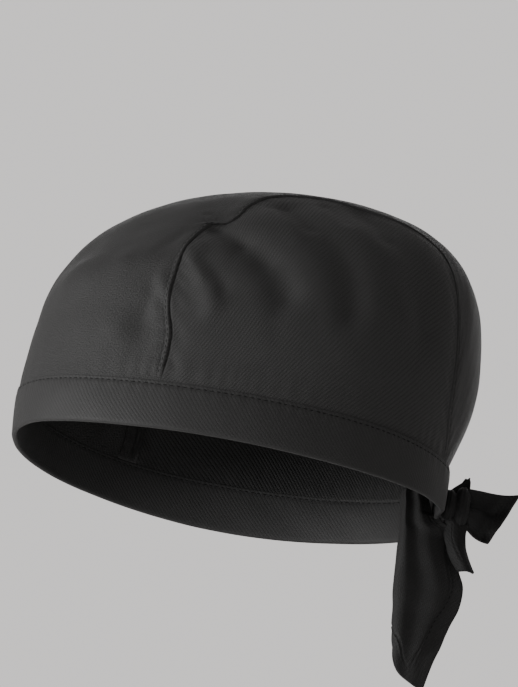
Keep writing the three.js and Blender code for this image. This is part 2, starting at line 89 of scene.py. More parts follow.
def keyed(table: Sequence[Sequence[float]], column: int, at: Array) -> Array:
    """Reads one column of a table whose rows stand at the places in its first column.

    Args:
        table: Rows of numbers, the first of each its place.
        column: The column to read.
        at: The places to read it at.

    Returns:
        The column's smooth values there.
    """
    key = np.array([row[0] for row in table], float)
    value = np.array([row[column] for row in table], float)
    low = np.maximum(np.arange(len(key)) - 1, 0)
    high = np.minimum(np.arange(len(key)) + 1, len(key) - 1)
    slope = (value[high] - value[low]) / (key[high] - key[low])
    row = np.clip(np.searchsorted(key, at, side="right") - 1, 0, len(key) - 2)
    span = key[row + 1] - key[row]
    t = np.clip((at - key[row]) / span, 0.0, 1.0)
    rise, fall = slope[row] * span, slope[row + 1] * span
    a = 2 * (value[row] - value[row + 1]) + rise + fall
    b = 3 * (value[row + 1] - value[row]) - 2 * rise - fall
    return ((a * t + b) * t + rise) * t + value[row]


def even(column: Sequence[float], share: Array, mirror: float) -> Array:
    """Reads evenly spaced values smoothly, the value past the last one mirrored with a sign."""
    last = len(column) - 1
    padded = np.array([2 * column[0] - column[1], *column, mirror * column[last - 1], 0.0])
    place = np.clip(share, 0.0, 1.0) * last
    row = np.minimum(np.floor(place).astype(int), last - 1)
    before, start, end, after = (padded[row + k] for k in range(4))
    rise, fall = (end - before) / 2, (after - start) / 2
    t = place - row
    cubic = 2 * (start - end) + rise + fall
    return ((cubic * t + 3 * (end - start) - 2 * rise - fall) * t + rise) * t + start


def spline(table: Sequence[tuple[float, float]], share: Array) -> Array:
    """A centripetal curve through a table of places, read at shares of its length.

    Args:
        table: Places of two numbers each.
        share: Shares of the curve's length, from 0 to 1.

    Returns:
        One place for each share.
    """
    points = np.array(table, float)
    points = np.vstack([2 * points[0] - points[1], points, 2 * points[-1] - points[-2]])
    step = np.linalg.norm(np.diff(points, axis=0), axis=1)[:, None] ** 0.5
    fine = np.linspace(0, 1, 40, endpoint=False)[:, None]
    parts = []
    for i in range(len(points) - 3):
        p0, p1, p2, p3 = points[i:i + 4]
        d0, d1, d2 = step[i:i + 3]
        leave = ((p1 - p0) / d0 - (p2 - p0) / (d0 + d1) + (p2 - p1) / d1) * d1
        reach = ((p2 - p1) / d1 - (p3 - p1) / (d1 + d2) + (p3 - p2) / d2) * d1
        c2 = 3 * (p2 - p1) - 2 * leave - reach
        c3 = 2 * (p1 - p2) + leave + reach
        parts.append(p1 + fine * (leave + fine * (c2 + fine * c3)))
    curve = np.vstack([*parts, points[-2]])
    length = np.concatenate([[0], np.cumsum(np.linalg.norm(np.diff(curve, axis=0), axis=1))])
    return np.stack([np.interp(share * length[-1], length, curve[:, k]) for k in range(2)], axis=-1)


def crowded(steps: int, crowding: float = 0.82) -> Array:
    """Shares from 0 to 1 that stand closer together at both ends."""
    t = np.linspace(0, 1, steps + 1)
    return t - crowding / (2 * math.pi) * np.sin(2 * math.pi * t)


def run_along(grid: Array, axis: int) -> Array:
    """The length along a grid's lines from its first row or column."""
    step = np.linalg.norm(np.diff(grid, axis=axis), axis=-1)
    pad = [(0, 0), (0, 0)]
    pad[axis] = (1, 0)
    return np.cumsum(np.pad(step, pad), axis=axis)


def flattened(grid: Array) -> Array:
    """The cloth's own flat coordinates over a grid: lengths from its middle column and middle row."""
    across = run_along(grid, 1)
    along = run_along(grid, 0)
    across = across - across[:, grid.shape[1] // 2][:, None]
    along = along - along[grid.shape[0] // 2][None, :]
    return np.stack([across, along], axis=-1)


def grid_normals(grid: Array) -> Array:
    """The unit normals of a grid of places."""
    down = np.gradient(grid, axis=0)
    across = np.gradient(grid, axis=1)
    return unit(np.cross(across, down))


def ripples(u: Array, v: Array, seed: int, waves: Sequence[tuple[float, float]]) -> Array:
    """Slow cloth undulation: a few crossing waves with seeded directions and phases.

    Args:
        u: Lengths along the cloth one way.
        v: Lengths along the cloth the other way.
        seed: Seed of the directions and phases.
        waves: Pairs of wavelength and height.

    Returns:
        The height at each place.
    """
    dice = np.random.default_rng(seed)
    height = np.zeros_like(u)
    for wavelength, size in waves:
        for _ in range(3):
            turn, phase = dice.uniform(0, math.pi), dice.uniform(0, 2 * math.pi)
            along = u * math.cos(turn) + v * math.sin(turn)
            bend = np.sin((u * math.sin(turn) - v * math.cos(turn)) / (1.7 * wavelength) + phase)
            height += size / 3 * np.sin(2 * math.pi * along / wavelength + phase + 1.3 * bend)
    return height


def swaying(along: Array, length: float, sway: float, run: float) -> Array:
    """A wave of uneven length, for puckers beside a line of stitches.

    Args:
        along: Lengths along the line.
        length: The wave's mean length.
        sway: How far the wave is drawn out and pressed together, in radians.
        run: The run of that unevenness.

    Returns:
        The wave, between -1 and 1.
    """
    return np.sin(along * 2 * math.pi / length + sway * np.sin(along / run))


def tilted(points: Array) -> Array:
    """Places of the cap's own frame turned to the way that it is worn."""
    c, s = math.cos(WEAR_TILT), math.sin(WEAR_TILT)
    x, y, z = points[..., 0], points[..., 1], points[..., 2]
    return np.stack([x, y * c + z * s, z * c - y * s], axis=-1)


def make_body(name: str, points: Array, quads: Array, corners: Array, flat: Array) -> bpy.types.Object:
    """Makes a closed mesh that faces outwards, with the cloth's flat coordinates as its UV map.

    Args:
        name: The piece's name.
        points: Places in millimetres in the row's frame.
        quads: Four point numbers for each face, the last two alike for a triangle.
        corners: Four rows of flat for each face.
        flat: Flat coordinates of the cloth, in millimetres.

    Returns:
        The new object.
    """
    a, b, c, d = (points[quads[:, k]] for k in range(4))
    volume = np.einsum("ij,ij->i", a, np.cross(b, c)).sum() + np.einsum("ij,ij->i", a, np.cross(c, d)).sum()
    if volume < 0:
        quads, corners = quads[:, ::-1], corners[:, ::-1]
    faces, uv = [], []
    for quad, corner in zip(quads.tolist(), corners.tolist()):
        keep = [k for k in range(4) if quad[k] != quad[k - 1]]
        faces.append([quad[k] for k in keep])
        uv.extend(corner[k] for k in keep)
    mesh = bpy.data.meshes.new(name)
    mesh.from_pydata((points * METRES).tolist(), [], faces)
    layer = mesh.uv_layers.new(name="flat")
    layer.data.foreach_set("uv", flat[np.array(uv)].astype(np.float32).ravel())
    mesh.validate()
    mesh.shade_smooth()
    piece = bpy.data.objects.new(name, mesh)
    bpy.context.scene.collection.objects.link(piece)
    return piece


def grid_quads(rows: int, columns: int, first: int = 0) -> Array:
    """The faces between the points of a grid that is stored row by row."""
    r, c = np.meshgrid(np.arange(rows - 1), np.arange(columns - 1), indexing="ij")
    corner = (first + r * columns + c).ravel()
    return np.stack([corner, corner + 1, corner + columns + 1, corner + columns], axis=1)


def sheet_body(name: str, outer: Array, inner: Array, flat: Array, bulge: float = 1.0) -> bpy.types.Object:
    """Makes a cloth with thickness from two grids that face each other, its edges rounded.

    Args:
        name: The piece's name.
        outer: Grid of places on one face, in millimetres.
        inner: Grid of places on the other face.
        flat: The cloth's flat coordinates over the grid.
        bulge: How round its edges are, from 0 for a flat edge to 1 for half a circle.

    Returns:
        The new object.
    """
    rows, columns = outer.shape[:2]
    count = rows * columns
    edge = [(0, c) for c in range(columns - 1)] + [(r, columns - 1) for r in range(rows - 1)]
    edge += [(rows - 1, c) for c in range(columns - 1, 0, -1)] + [(r, 0) for r in range(rows - 1, 0, -1)]
    r, c = np.array(edge).T
    inside = (np.clip(r, 1, rows - 2), np.clip(c, 1, columns - 2))
    middle = (outer[r, c] + inner[r, c]) / 2
    half = outer[r, c] - middle
    out = middle - (outer[inside] + inner[inside]) / 2
    out -= half * (np.einsum("ij,ij->i", out, half) / np.einsum("ij,ij->i", half, half))[:, None]
    out = unit(out) * np.linalg.norm(half, axis=1)[:, None] * bulge
    turns = [math.pi * k / 4 for k in (1, 2, 3)]
    ring = [middle + half * math.cos(t) + out * math.sin(t) for t in turns]
    points = np.vstack([outer.reshape(-1, 3), inner.reshape(-1, 3), *ring])
    place = r * columns + c
    loops = [place, *(2 * count + len(r) * k + np.arange(len(r)) for k in range(3)), count + place]
    quads = [grid_quads(rows, columns), grid_quads(rows, columns, count)[:, ::-1]]
    for near, far in zip(loops, loops[1:]):
        quads.append(np.stack([np.roll(near, -1), near, far, np.roll(far, -1)], axis=1))
    quads = np.vstack(quads)
    lay = flat.reshape(-1, 2)
    return make_body(name, points, quads, quads, np.vstack([lay, lay, lay[place], lay[place], lay[place]]))


def loft_body(name: str, rings: Array) -> bpy.types.Object:
    """Makes a closed body through rings of points, closed at each end by a fan.

    Args:
        name: The piece's name.
        rings: Stations by points by coordinates, in millimetres.

    Returns:
        The new object.
    """
    stations, size = rings.shape[:2]
    closed = np.concatenate([rings, rings[:, :1]], axis=1)
    round_it = run_along(closed, 1)
    along = run_along(closed, 0)
    flat = np.stack([along, round_it * (along * 0 + 1)], axis=-1).reshape(-1, 2)
    n, k = np.meshgrid(np.arange(stations - 1), np.arange(size), indexing="ij")
    n, k = n.ravel(), k.ravel()
    after = (k + 1) % size
    quads = np.stack([n * size + k, n * size + after, (n + 1) * size + after, (n + 1) * size + k], axis=1)
    wide = size + 1
    corners = np.stack([n * wide + k, n * wide + k + 1, (n + 1) * wide + k + 1, (n + 1) * wide + k], axis=1)
    points = np.vstack([rings.reshape(-1, 3), rings[0].mean(0), rings[-1].mean(0)])
    ends, end_corners = [], []
    for station, centre, turn in ((0, stations * size, 1), (stations - 1, stations * size + 1, -1)):
        k = np.arange(size)
        near, far = station * size + k, station * size + (k + 1) % size
        fan = np.stack([near, np.full(size, centre), far, far], axis=1)
        lay = np.stack([station * wide + k] * 4, axis=1)
        ends.append(fan if turn > 0 else fan[:, [2, 1, 0, 0]])
        end_corners.append(lay)
    return make_body(name, points, np.vstack([quads, *ends]), np.vstack([corners, *end_corners]), flat)


class Value:
    """A shader socket that takes part in plain arithmetic."""

    def __init__(self, shader: "Shader", socket: bpy.types.NodeSocket) -> None:
        """Keeps the shader that the socket belongs to."""
        self.shader = shader
        self.socket = socket

    def _math(self, operation: str, *values: Any) -> "Value":
        """Adds one Math node."""
        node = self.shader.node("ShaderNodeMath", {"operation": operation}, dict(enumerate(values)))
        return Value(self.shader, node.outputs[0])

    def __add__(self, other: Any) -> "Value":
        """Adds."""
        return self._math("ADD", self, other)

    def __sub__(self, other: Any) -> "Value":
        """Subtracts."""
        return self._math("SUBTRACT", self, other)

    def __rsub__(self, other: Any) -> "Value":
        """Subtracts from a number."""
        return self._math("SUBTRACT", other, self)

    def __mul__(self, other: Any) -> "Value":
        """Multiplies."""
        return self._math("MULTIPLY", self, other)

    def __truediv__(self, other: Any) -> "Value":
        """Divides."""
        return self._math("DIVIDE", self, other)

    def __pow__(self, other: Any) -> "Value":
        """Raises to a power."""
        return self._math("POWER", self, other)

    __radd__ = __add__
    __rmul__ = __mul__

    def sine(self) -> "Value":
        """The sine."""
        return self._math("SINE", self)

    def size(self) -> "Value":
        """The value without its sign."""
        return self._math("ABSOLUTE", self)


class Shader:
    """The node tree of one material."""

    def __init__(self, name: str) -> None:
        """Starts an empty material."""
        self.material = bpy.data.materials.new(name)
        self.material.use_nodes = True
        self.tree = self.material.node_tree
        self.tree.nodes.clear()

    def node(self, kind: str, settings: dict[str, Any] | None = None,
             inputs: dict[Any, Any] | None = None) -> Any:
        """Adds a node.

        Args:
            kind: The node's type.
            settings: Its settings, set before its sockets.
            inputs: Numbers, colours, values or sockets for its inputs, by name or number.

        Returns:
            The node.
        """
        made = self.tree.nodes.new(kind)
        for key, setting in (settings or {}).items():
            setattr(made, key, setting)
        for key, given in (inputs or {}).items():
            given = given.socket if isinstance(given, Value) else given
            if isinstance(given, bpy.types.NodeSocket):
                self.tree.links.new(given, made.inputs[key])
            else:
                made.inputs[key].default_value = given
        return made

    def value(self, kind: str, output: Any, settings: dict[str, Any] | None = None,
              inputs: dict[Any, Any] | None = None) -> Value:
        """Adds a node and gives one of its outputs."""
        return Value(self, self.node(kind, settings, inputs).outputs[output])


@dataclass(frozen=True)
class Twill:
    """A matt twill: slanting ribs with fine grooves, crossed by the yarns, with a little fuzz.

    Lengths are millimetres on the flat cloth and tones are linear greys.
    """

    name: str
    groove_tone: float = 0.0012
    rib_tone: float = 0.0245
    rib_spacing: float = 1.6
    rib_slant: float = 30.0
    yarn_spacing: float = 0.95
    rib_height: float = 0.2
    rib_share: float = 0.58
    yarn_share: float = 0.14
    fuzz_size: float = 0.6
    cloud_share: float = 0.2
    gloss: float = 0.27
    warmth: float = 0.015
    rib_power: float = 0.7
    grain_gain: float = 2.6
    cloud_scale: float = 26.0
    relief_strength: float = 0.9
    least_roughness: float = 0.56
    roughness_range: float = 0.14
    sheen: float = 0.04
    sheen_roughness: float = 0.4
    sheen_tint: tuple[float, float, float, float] = (0.9, 0.9, 0.92, 1.0)

    def tone(self, grey: float) -> tuple[float, float, float, float]:
        """A grey with the cloth's slight warmth."""
        return grey * (1 + self.warmth), grey, grey * (1 - self.warmth / 2), 1.0

    def build(self) -> bpy.types.Material:
        """Builds the material.

        Returns:
            The material, whose pattern follows the piece's own flat UV map.
        """
        shader = Shader(self.name)
        uv = shader.node("ShaderNodeUVMap", {"uv_map": "flat"})
        parts = shader.node("ShaderNodeSeparateXYZ", inputs={0: uv.outputs[0]})
        u, v = Value(shader, parts.outputs[0]), Value(shader, parts.outputs[1])
        cos, sin = math.cos(math.radians(self.rib_slant)), math.sin(math.radians(self.rib_slant))
        across = v * cos - u * sin
        along = u * cos + v * sin
        rib = (across * (math.pi / self.rib_spacing)).sine().size() ** self.rib_power
        stagger = along * (2 * math.pi / self.yarn_spacing) + across * (math.pi / self.rib_spacing)
        yarn = stagger.sine() * 0.5 + 0.5
        fuzz = shader.value("ShaderNodeTexNoise", 0, {"noise_dimensions": "2D"}, {
            "Vector": uv.outputs[0], "Scale": 1 / self.fuzz_size, "Detail": 3.0, "Roughness": 0.6})
        grain = (fuzz - 0.5) * self.grain_gain + 0.5
        place = shader.node("ShaderNodeTexCoord")
        cloud = shader.value("ShaderNodeTexNoise", 0, {}, {
            "Vector": place.outputs["Object"], "Scale": self.cloud_scale, "Detail": 3.0, "Roughness": 0.55})
        fuzz_share = 1 - self.rib_share - self.yarn_share
        height = rib * self.rib_share + yarn * self.yarn_share + grain * fuzz_share
        shade = height * (1 - self.cloud_share) + cloud * self.cloud_share
        colour = shader.node("ShaderNodeMix", {"data_type": "RGBA"}, {
            0: shade, 6: self.tone(self.groove_tone), 7: self.tone(self.rib_tone)})
        raised = shader.node("ShaderNodeBump", {}, {
            "Strength": self.relief_strength, "Distance": self.rib_height * METRES, "Height": height})
        surface = shader.node("ShaderNodeBsdfPrincipled", {}, {
            "Base Color": colour.outputs[2],
            "Roughness": fuzz * self.roughness_range + self.least_roughness,
            "Normal": raised.outputs[0],
            "Specular IOR Level": self.gloss,
            "Sheen Weight": self.sheen,
            "Sheen Roughness": self.sheen_roughness,
            "Sheen Tint": self.sheen_tint,
        })
        shader.node("ShaderNodeOutputMaterial", {}, {0: surface.outputs[0]})
        return shader.material


@dataclass(frozen=True)
class Thread:
    """A matt sewing thread, twisted: a shade darker than the cloth."""

    name: str
    tone: float = 0.0016
    light_share: float = 2.2
    twist_scale: float = 2600.0
    roughness: float = 0.8
    gloss: float = 0.15

    def build(self) -> bpy.types.Material:
        """Builds the material.

        Returns:
            The material, on Object coordinates.
        """
        shader = Shader(self.name)
        place = shader.node("ShaderNodeTexCoord")
        twist = shader.value("ShaderNodeTexNoise", 0, {}, {
            "Vector": place.outputs["Object"], "Scale": self.twist_scale, "Detail": 1.0})
        dark, light = ((tone, tone, tone, 1.0) for tone in (self.tone, self.tone * self.light_share))
        colour = shader.node("ShaderNodeMix", {"data_type": "RGBA"}, {0: twist, 6: dark, 7: light})
        surface = shader.node("ShaderNodeBsdfPrincipled", {}, {
            "Base Color": colour.outputs[2], "Roughness": self.roughness, "Specular IOR Level": self.gloss})
        shader.node("ShaderNodeOutputMaterial", {}, {0: surface.outputs[0]})
        return shader.material


@dataclass
class Rack:
    """The finishes that the pieces share."""

    side: bpy.types.Material = field(default_factory=lambda: Twill(
        "twill_side", rib_slant=52.0, rib_share=0.52, yarn_share=0.1, rib_height=0.28).build())
    centre: bpy.types.Material = field(default_factory=lambda: Twill(
        "twill_centre", rib_slant=64.0, rib_share=0.22, yarn_share=0.1, fuzz_size=0.85).build())
    band: bpy.types.Material = field(default_factory=lambda: Twill(
        "twill_band", rib_slant=-50.0, groove_tone=0.004, rib_tone=0.021, rib_share=0.46,
        rib_height=0.14).build())
    # The tail is the cap's own black cloth; its tones are set darker than the panels' as painted shade, for the
    # shadow that the cap casts on it inside the back.
    tail: bpy.types.Material = field(default_factory=lambda: Twill(
        "twill_tail_shade_darkened", rib_slant=-38.0, groove_tone=0.0025, rib_tone=0.0135, rib_share=0.34, gloss=0.2).build())
    # The knot and the tie's ends are the cap's own black cloth; their tones are set darker still as painted
    # shade, for the hat's shadow over the knot.
    tie: bpy.types.Material = field(default_factory=lambda: Twill(
        "twill_tie_shade_darkened", rib_slant=40.0, groove_tone=0.002, rib_tone=0.0095, rib_share=0.4, gloss=0.15).build())
    thread: bpy.types.Material = field(default_factory=lambda: Thread("thread").build())


def finish_piece(piece: bpy.types.Object, finish: bpy.types.Material, slot: Slot, *nodes: str) -> None:
    """Dresses a piece, hangs it on the cap's one body and puts it in its solid's place.

    Args:
        piece: The piece.
        finish: Its material.
        slot: The record's slot for the piece; not used.
        nodes: The solids that it stands for.
    """
    if not piece.data.materials:
        piece.data.materials.append(finish)
    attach(piece, "root")
    if nodes:
        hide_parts(*nodes)
    LOG.info("%s: %d faces", piece.name, len(piece.data.polygons))


@dataclass
class StitchRow:
    """A row of straight stitches along a path."""

    name: str
    pitch: float
    length: float
    thickness: float
    shortest: float = 0.88
    seed: int = 7

    def tree(self, thread: bpy.types.Material) -> bpy.types.NodeTree:
        """Builds the node tree that lays a stitch at each step along the path.

        Args:
            thread: The thread's material.

        Returns:
            The tree, with Pitch, Length and Thickness inputs in metres.
        """
        tree = bpy.data.node_groups.new(self.name + "_tree", "GeometryNodeTree")
        tree.interface.new_socket("Geometry", in_out="INPUT", socket_type="NodeSocketGeometry")
        for label in ("Pitch", "Length", "Thickness"):
            tree.interface.new_socket(label, in_out="INPUT", socket_type="NodeSocketFloat")
        tree.interface.new_socket("Geometry", in_out="OUTPUT", socket_type="NodeSocketGeometry")
        kinds = {
            "given": "NodeGroupInput",
            "result": "NodeGroupOutput",
            "path": "GeometryNodeMeshToCurve",
            "steps": "GeometryNodeResampleCurve",
            "stitch": "GeometryNodeMeshUVSphere",
            "tangent": "GeometryNodeInputTangent",
            "turn": "FunctionNodeAlignRotationToVector",
            "size": "ShaderNodeCombineXYZ",
            "jitter": "FunctionNodeRandomValue",
            "long": "ShaderNodeMath",
            "lay": "GeometryNodeInstanceOnPoints",
            "real": "GeometryNodeRealizeInstances",
            "dress": "GeometryNodeSetMaterial",
        }
        nodes = {word: tree.nodes.new(kind) for word, kind in kinds.items()}
        nodes["steps"].mode = "LENGTH"
        nodes["turn"].axis = "Z"
        nodes["jitter"].data_type = "FLOAT"
        nodes["long"].operation = "MULTIPLY"
        constants = (
            ("stitch", "Segments", 6),
            ("stitch", "Rings", 4),
            ("stitch", "Radius", 0.5),
            ("jitter", "Min", self.shortest),
            ("jitter", "Max", 1.0),
            ("jitter", "Seed", self.seed),
            ("dress", "Material", thread),
        )
        for word, label, constant in constants:
            nodes[word].inputs[label].default_value = constant
        links = (
            ("given", "Geometry", "path", "Mesh"),
            ("path", "Curve", "steps", "Curve"),
            ("given", "Pitch", "steps", "Length"),
            ("steps", "Curve", "lay", "Points"),
            ("stitch", "Mesh", "lay", "Instance"),
            ("tangent", 0, "turn", "Vector"),
            ("turn", "Rotation", "lay", "Rotation"),
            ("given", "Thickness", "size", "X"),
            ("given", "Thickness", "size", "Y"),
            ("given", "Length", "long", 0),
            ("long", 0, "size", "Z"),
            ("size", "Vector", "lay", "Scale"),
            ("lay", "Instances", "real", "Geometry"),
            ("real", "Geometry", "dress", "Geometry"),
            ("dress", "Geometry", "result", "Geometry"),
        )
        for source, output, target, label in links:
            tree.links.new(nodes[source].outputs[output], nodes[target].inputs[label])
        chance = next(socket for socket in nodes["jitter"].outputs if socket.enabled)
        tree.links.new(chance, nodes["long"].inputs[1])
        return tree

    def sew(self, paths: Sequence[Array], thread: bpy.types.Material) -> bpy.types.Object:
        """Lays the stitches along paths and makes them one plain mesh.

        Args:
            paths: Lines of places in millimetres, in the row's frame.
            thread: The thread's material.

        Returns:
            The stitches' object.
        """
        points, edges, first = [], [], 0
        for path in paths:
            points.append(path)
            edges.extend((first + k, first + k + 1) for k in range(len(path) - 1))
            first += len(path)
        mesh = bpy.data.meshes.new(self.name + "_path")
        mesh.from_pydata((np.vstack(points) * METRES).tolist(), edges, [])
        path_object = bpy.data.objects.new(self.name + "_path", mesh)
        bpy.context.scene.collection.objects.link(path_object)
        tree = self.tree(thread)
        modifier = path_object.modifiers.new("stitches", "NODES")
        modifier.node_group = tree
        sizes = {"Pitch": self.pitch, "Length": self.length, "Thickness": self.thickness}
        for item in tree.interface.items_tree:
            if item.in_out == "INPUT" and item.name in sizes:
                modifier[item.identifier] = sizes[item.name] * METRES
        graph = bpy.context.evaluated_depsgraph_get()
        made = bpy.data.meshes.new_from_object(path_object.evaluated_get(graph))
        made.name = self.name
        made.shade_smooth()
        bpy.data.objects.remove(path_object)
        piece = bpy.data.objects.new(self.name, made)
        bpy.context.scene.collection.objects.link(piece)
        return piece


@dataclass
class Form:
    """The cap's shape: the same sizes and tables as the solids'."""

    rim_half_length: float = 106.0
    rim_half_width: float = 84.5
    band_height: float = 22.7
    band_wall: float = 2.4
    front_lean: float = 1.8
    back_lean: float = 0.2
    side_lean: float = -2.1
    rim_saddle: float = 1.98
    rim_third_wave: float = 0.45
    top_saddle: float = 0.95
    top_third_wave: float = 1.0
    back_squareness: float = 2.16
    crown_height: float = 125.7
    crown_lean_back: float = 30.0
    crown_wall: float = 1.5
    crown_inset: float = 0.5
    crown_back_tuck: float = 1.8
    fold_depth: float = 3.0
    fold_foot_run: float = 0.06
    wall_foot_run: float = 0.12
    band_end_run: float = 24.0
    band_end_top_drop: float = 2.9
    band_end_rim_lift: float = 2.5
    band_end_pull: float = 2.5
    knot_half_width: float = 9.0
    knot_neck_half_width: float = 3.6
    knot_pull_run: float = 0.2
    slope_step: float = 0.004
    # Shares of the foot's reach to the front, the side and the back, one row for each 15 degrees of rise
    sections: tuple[tuple[float, float, float], ...] = (
        (1.0, 1.0, 1.0),
        (1.058, 1.042, 0.992),
        (1.074, 1.016, 0.919),
        (0.954, 0.898, 0.806),
        (0.715, 0.671, 0.615),
        (0.38, 0.361, 0.332),
        (0.0, 0.0, 0.0),
    )
    # Seam places on the crown's disc: to the left and to the front
    seam_front: tuple[tuple[float, float], ...] = (
        (0.91, 0.415), (0.805, 0.394), (0.7, 0.405), (0.608, 0.376), (0.52, 0.332), (0.452, 0.287))
    seam_top: tuple[tuple[float, float], ...] = (
        (0.452, 0.287), (0.448, 0.235), (0.38, 0.196), (0.31, 0.14), (0.3, -0.08), (0.317, -0.3))
    seam_back: tuple[tuple[float, float], ...] = (
        (0.317, -0.3), (0.467, -0.576), (0.5, -0.72), (0.399, -0.917))
    # Folds on the disc: left and front of one end, left and front of the other, width, depth
    folds: tuple[tuple[float, float, float, float, float, float], ...] = (
        (0.1, 0.665, 0.45, 0.48, 0.075, -0.75),
        (0.69, 0.505, 0.71, 0.49, 0.06, -0.8),
        (0.56, 0.335, 0.75, 0.27, 0.035, 0.6),
        (0.49, 0.265, 0.745, 0.05, 0.045, -1.0),
        (0.39, 0.12, 0.73, -0.16, 0.045, -0.8),
        (0.36, -0.06, 0.6, -0.43, 0.07, -0.75),
        (0.36, 0.275, 0.42, 0.25, 0.045, -0.6),
    )
    # Finer creases over them, in the same columns, their depths in millimetres
    creases: tuple[tuple[float, float, float, float, float, float], ...] = (
        (0.605, 0.308, 0.719, 0.241, 0.02, -0.9),
        (0.57, 0.345, 0.66, 0.312, 0.016, 0.5),
        (0.479, 0.271, 0.572, 0.208, 0.022, -1.1),
        (0.572, 0.208, 0.647, 0.143, 0.026, -0.8),
        (0.5, 0.3, 0.6, 0.25, 0.02, 0.5),
        (0.39, 0.119, 0.5, 0.06, 0.022, -1.0),
        (0.42, 0.15, 0.56, 0.08, 0.022, 0.5),
        (0.356, 0.037, 0.437, -0.019, 0.02, -0.8),
        (0.331, -0.041, 0.45, -0.13, 0.03, -0.9),
        (0.556, -0.214, 0.597, -0.433, 0.035, -0.5),
        (0.6, 0.428, 0.696, 0.402, 0.018, 0.45),
        (0.491, 0.499, 0.559, 0.414, 0.045, 0.7),
        (0.62, 0.46, 0.7, 0.5, 0.022, -0.5),
        (0.467, 0.33, 0.5, 0.42, 0.02, -0.6),
        (0.23, 0.565, 0.36, 0.49, 0.1, -1.2),
        (0.3, 0.665, 0.453, 0.51, 0.075, 1.8),
        (0.453, 0.51, 0.49, 0.445, 0.05, 0.9),
        (0.42, 0.62, 0.56, 0.52, 0.06, 0.5),
        (0.648, 0.45, 0.71, 0.42, 0.018, -0.5),
        (0.44, 0.26, 0.395, 0.29, 0.016, -0.8),
        (0.62, 0.62, 0.72, 0.56, 0.03, 0.35),
        (0.75, 0.1, 0.86, 0.02, 0.03, -0.3),
    )

    def near_knot(self, x: Array, cosine: Array) -> Array:
        """How much the knot draws in what is at a distance to the side of it."""
        pull = 1 - smooth_step((np.abs(x) - self.knot_half_width) / self.band_end_run)
        return np.where(cosine < 0, pull, 0.0)

    def band_point(self, angle: Array, up: Array, inset: Array, lift: Array) -> Array:
        """A place on the band, in the cap's frame.

        Args:
            angle: 0 at the front, growing towards the wearer's left.
            up: 0 at the rim and 1 at the top edge.
            inset: How far in from the band's outside.
            lift: How far above the place that up gives.

        Returns:
            The places, in millimetres.
        """
        s, c = np.sin(angle), np.cos(angle)
        squareness = np.where(c > 0, ELLIPSE, self.back_squareness)
        half_width = self.rim_half_width + self.side_lean * up
        reach = self.rim_half_length + np.where(c > 0, self.front_lean, self.back_lean) * up
        x = half_width * squared(s, squareness)
        y = -reach * squared(c, squareness)
        saddle = lerp(self.rim_saddle, self.top_saddle, up) * np.cos(2 * angle)
        third = lerp(self.rim_third_wave, self.top_third_wave, up) * np.cos(3 * angle)
        pull = self.near_knot(x, c)
        pinch = pull * lerp(self.band_end_rim_lift, -self.band_end_top_drop, up)
        out = unit(np.stack([x / half_width**2, y / reach**2], axis=-1))
        return np.stack([
            x - out[..., 0] * inset,
            y - out[..., 1] * inset - self.band_end_pull * pull,
            self.band_height * up + saddle + third + pinch + lift,
        ], axis=-1)

    def relief(self, rows: Sequence[Sequence[float]], left: Array, front: Array) -> Array:
        """The sum of folds at places on the disc, the same on both sides of the cap.

        Args:
            rows: Folds, each its two ends, its width and its depth.
            left: Places to the left on the disc.
            front: Places to the front.

        Returns:
            How far the cloth stands out, in the unit of the rows' depths.
        """
        side = np.abs(left)
        height = np.zeros_like(left)
        for l0, f0, l1, f1, width, depth in rows:
            run = np.array([l1 - l0, f1 - f0])
            along = np.clip(((side - l0) * run[0] + (front - f0) * run[1]) / (run @ run), 0, 1)
            away = np.hypot(side - l0 - run[0] * along, front - f0 - run[1] * along)
            height += depth * bump(away, width)
        return height * smooth_step((1 - np.hypot(left, front)) / self.fold_foot_run)

    def crown_form(self, left: Array, front: Array) -> Array:
        """The crown's plain form at places on the disc, in the cap's frame."""
        radius = np.minimum(np.hypot(left, front), 1)
        angle = np.arctan2(left, front)
        s, c = np.sin(angle), np.cos(angle)
        up = 1 - radius
        rise = np.sin(up * math.pi / 2)
        squareness = np.where(c > 0, ELLIPSE, lerp(ELLIPSE, self.back_squareness, radius))
        foot = (
            self.rim_half_length + self.front_lean - self.crown_inset,
            self.rim_half_width + self.side_lean - self.crown_inset,
            self.rim_half_length + self.back_lean - self.crown_inset - self.crown_back_tuck,
        )
        reach = [foot[k] * even([row[k] for row in self.sections], up, -1.0) for k in range(3)]
        forward = lerp(reach[2], reach[0], smooth_step((1 + c) / 2))
        wave = self.top_saddle * np.cos(2 * angle) + self.top_third_wave * np.cos(3 * angle)
        x = reach[1] * squared(s, squareness)
        pull = self.near_knot(x, c) * (1 - smooth_step(up / self.knot_pull_run))
        return np.stack([
            x,
            self.crown_lean_back * rise - forward * squared(c, squareness) - self.band_end_pull * pull,
            self.band_height + SEAM_GAP + wave * (1 - rise) + self.crown_height * rise
            - self.band_end_top_drop * pull,
        ], axis=-1)

    def crown_outwards(self, left: Array, front: Array) -> Array:
        """The way out of the crown at places on the disc, level at the foot."""
        radius = np.hypot(left, front)
        shrink = np.minimum((1 - self.slope_step) / np.maximum(radius, self.slope_step), 1)
        p, q, step = left * shrink, front * shrink, self.slope_step
        across_left = self.crown_form(p + step, q) - self.crown_form(p - step, q)
        across_front = self.crown_form(p, q + step) - self.crown_form(p, q - step)
        out = np.cross(across_front, across_left)
        out[..., 2] *= smooth_step((1 - radius) / self.wall_foot_run)
        return unit(out)

    def crown_point(self, left: Array, front: Array, extra: Array | float) -> Array:
        """Places of the crown's cloth, with extra millimetres added outwards."""
        relief = self.fold_depth * self.relief(self.folds, left, front)
        relief += self.relief(self.creases, left, front)
        out = self.crown_outwards(left, front)
        return self.crown_form(left, front) + out * (relief + extra)[..., None]

    def band_end_angle(self) -> float:
        """The angle at which the band ends beside the knot's neck."""
        share = (self.knot_neck_half_width + SEAM_GAP) / (self.rim_half_width + min(self.side_lean, 0))
        return math.pi - math.asin(share ** (self.back_squareness / 2))


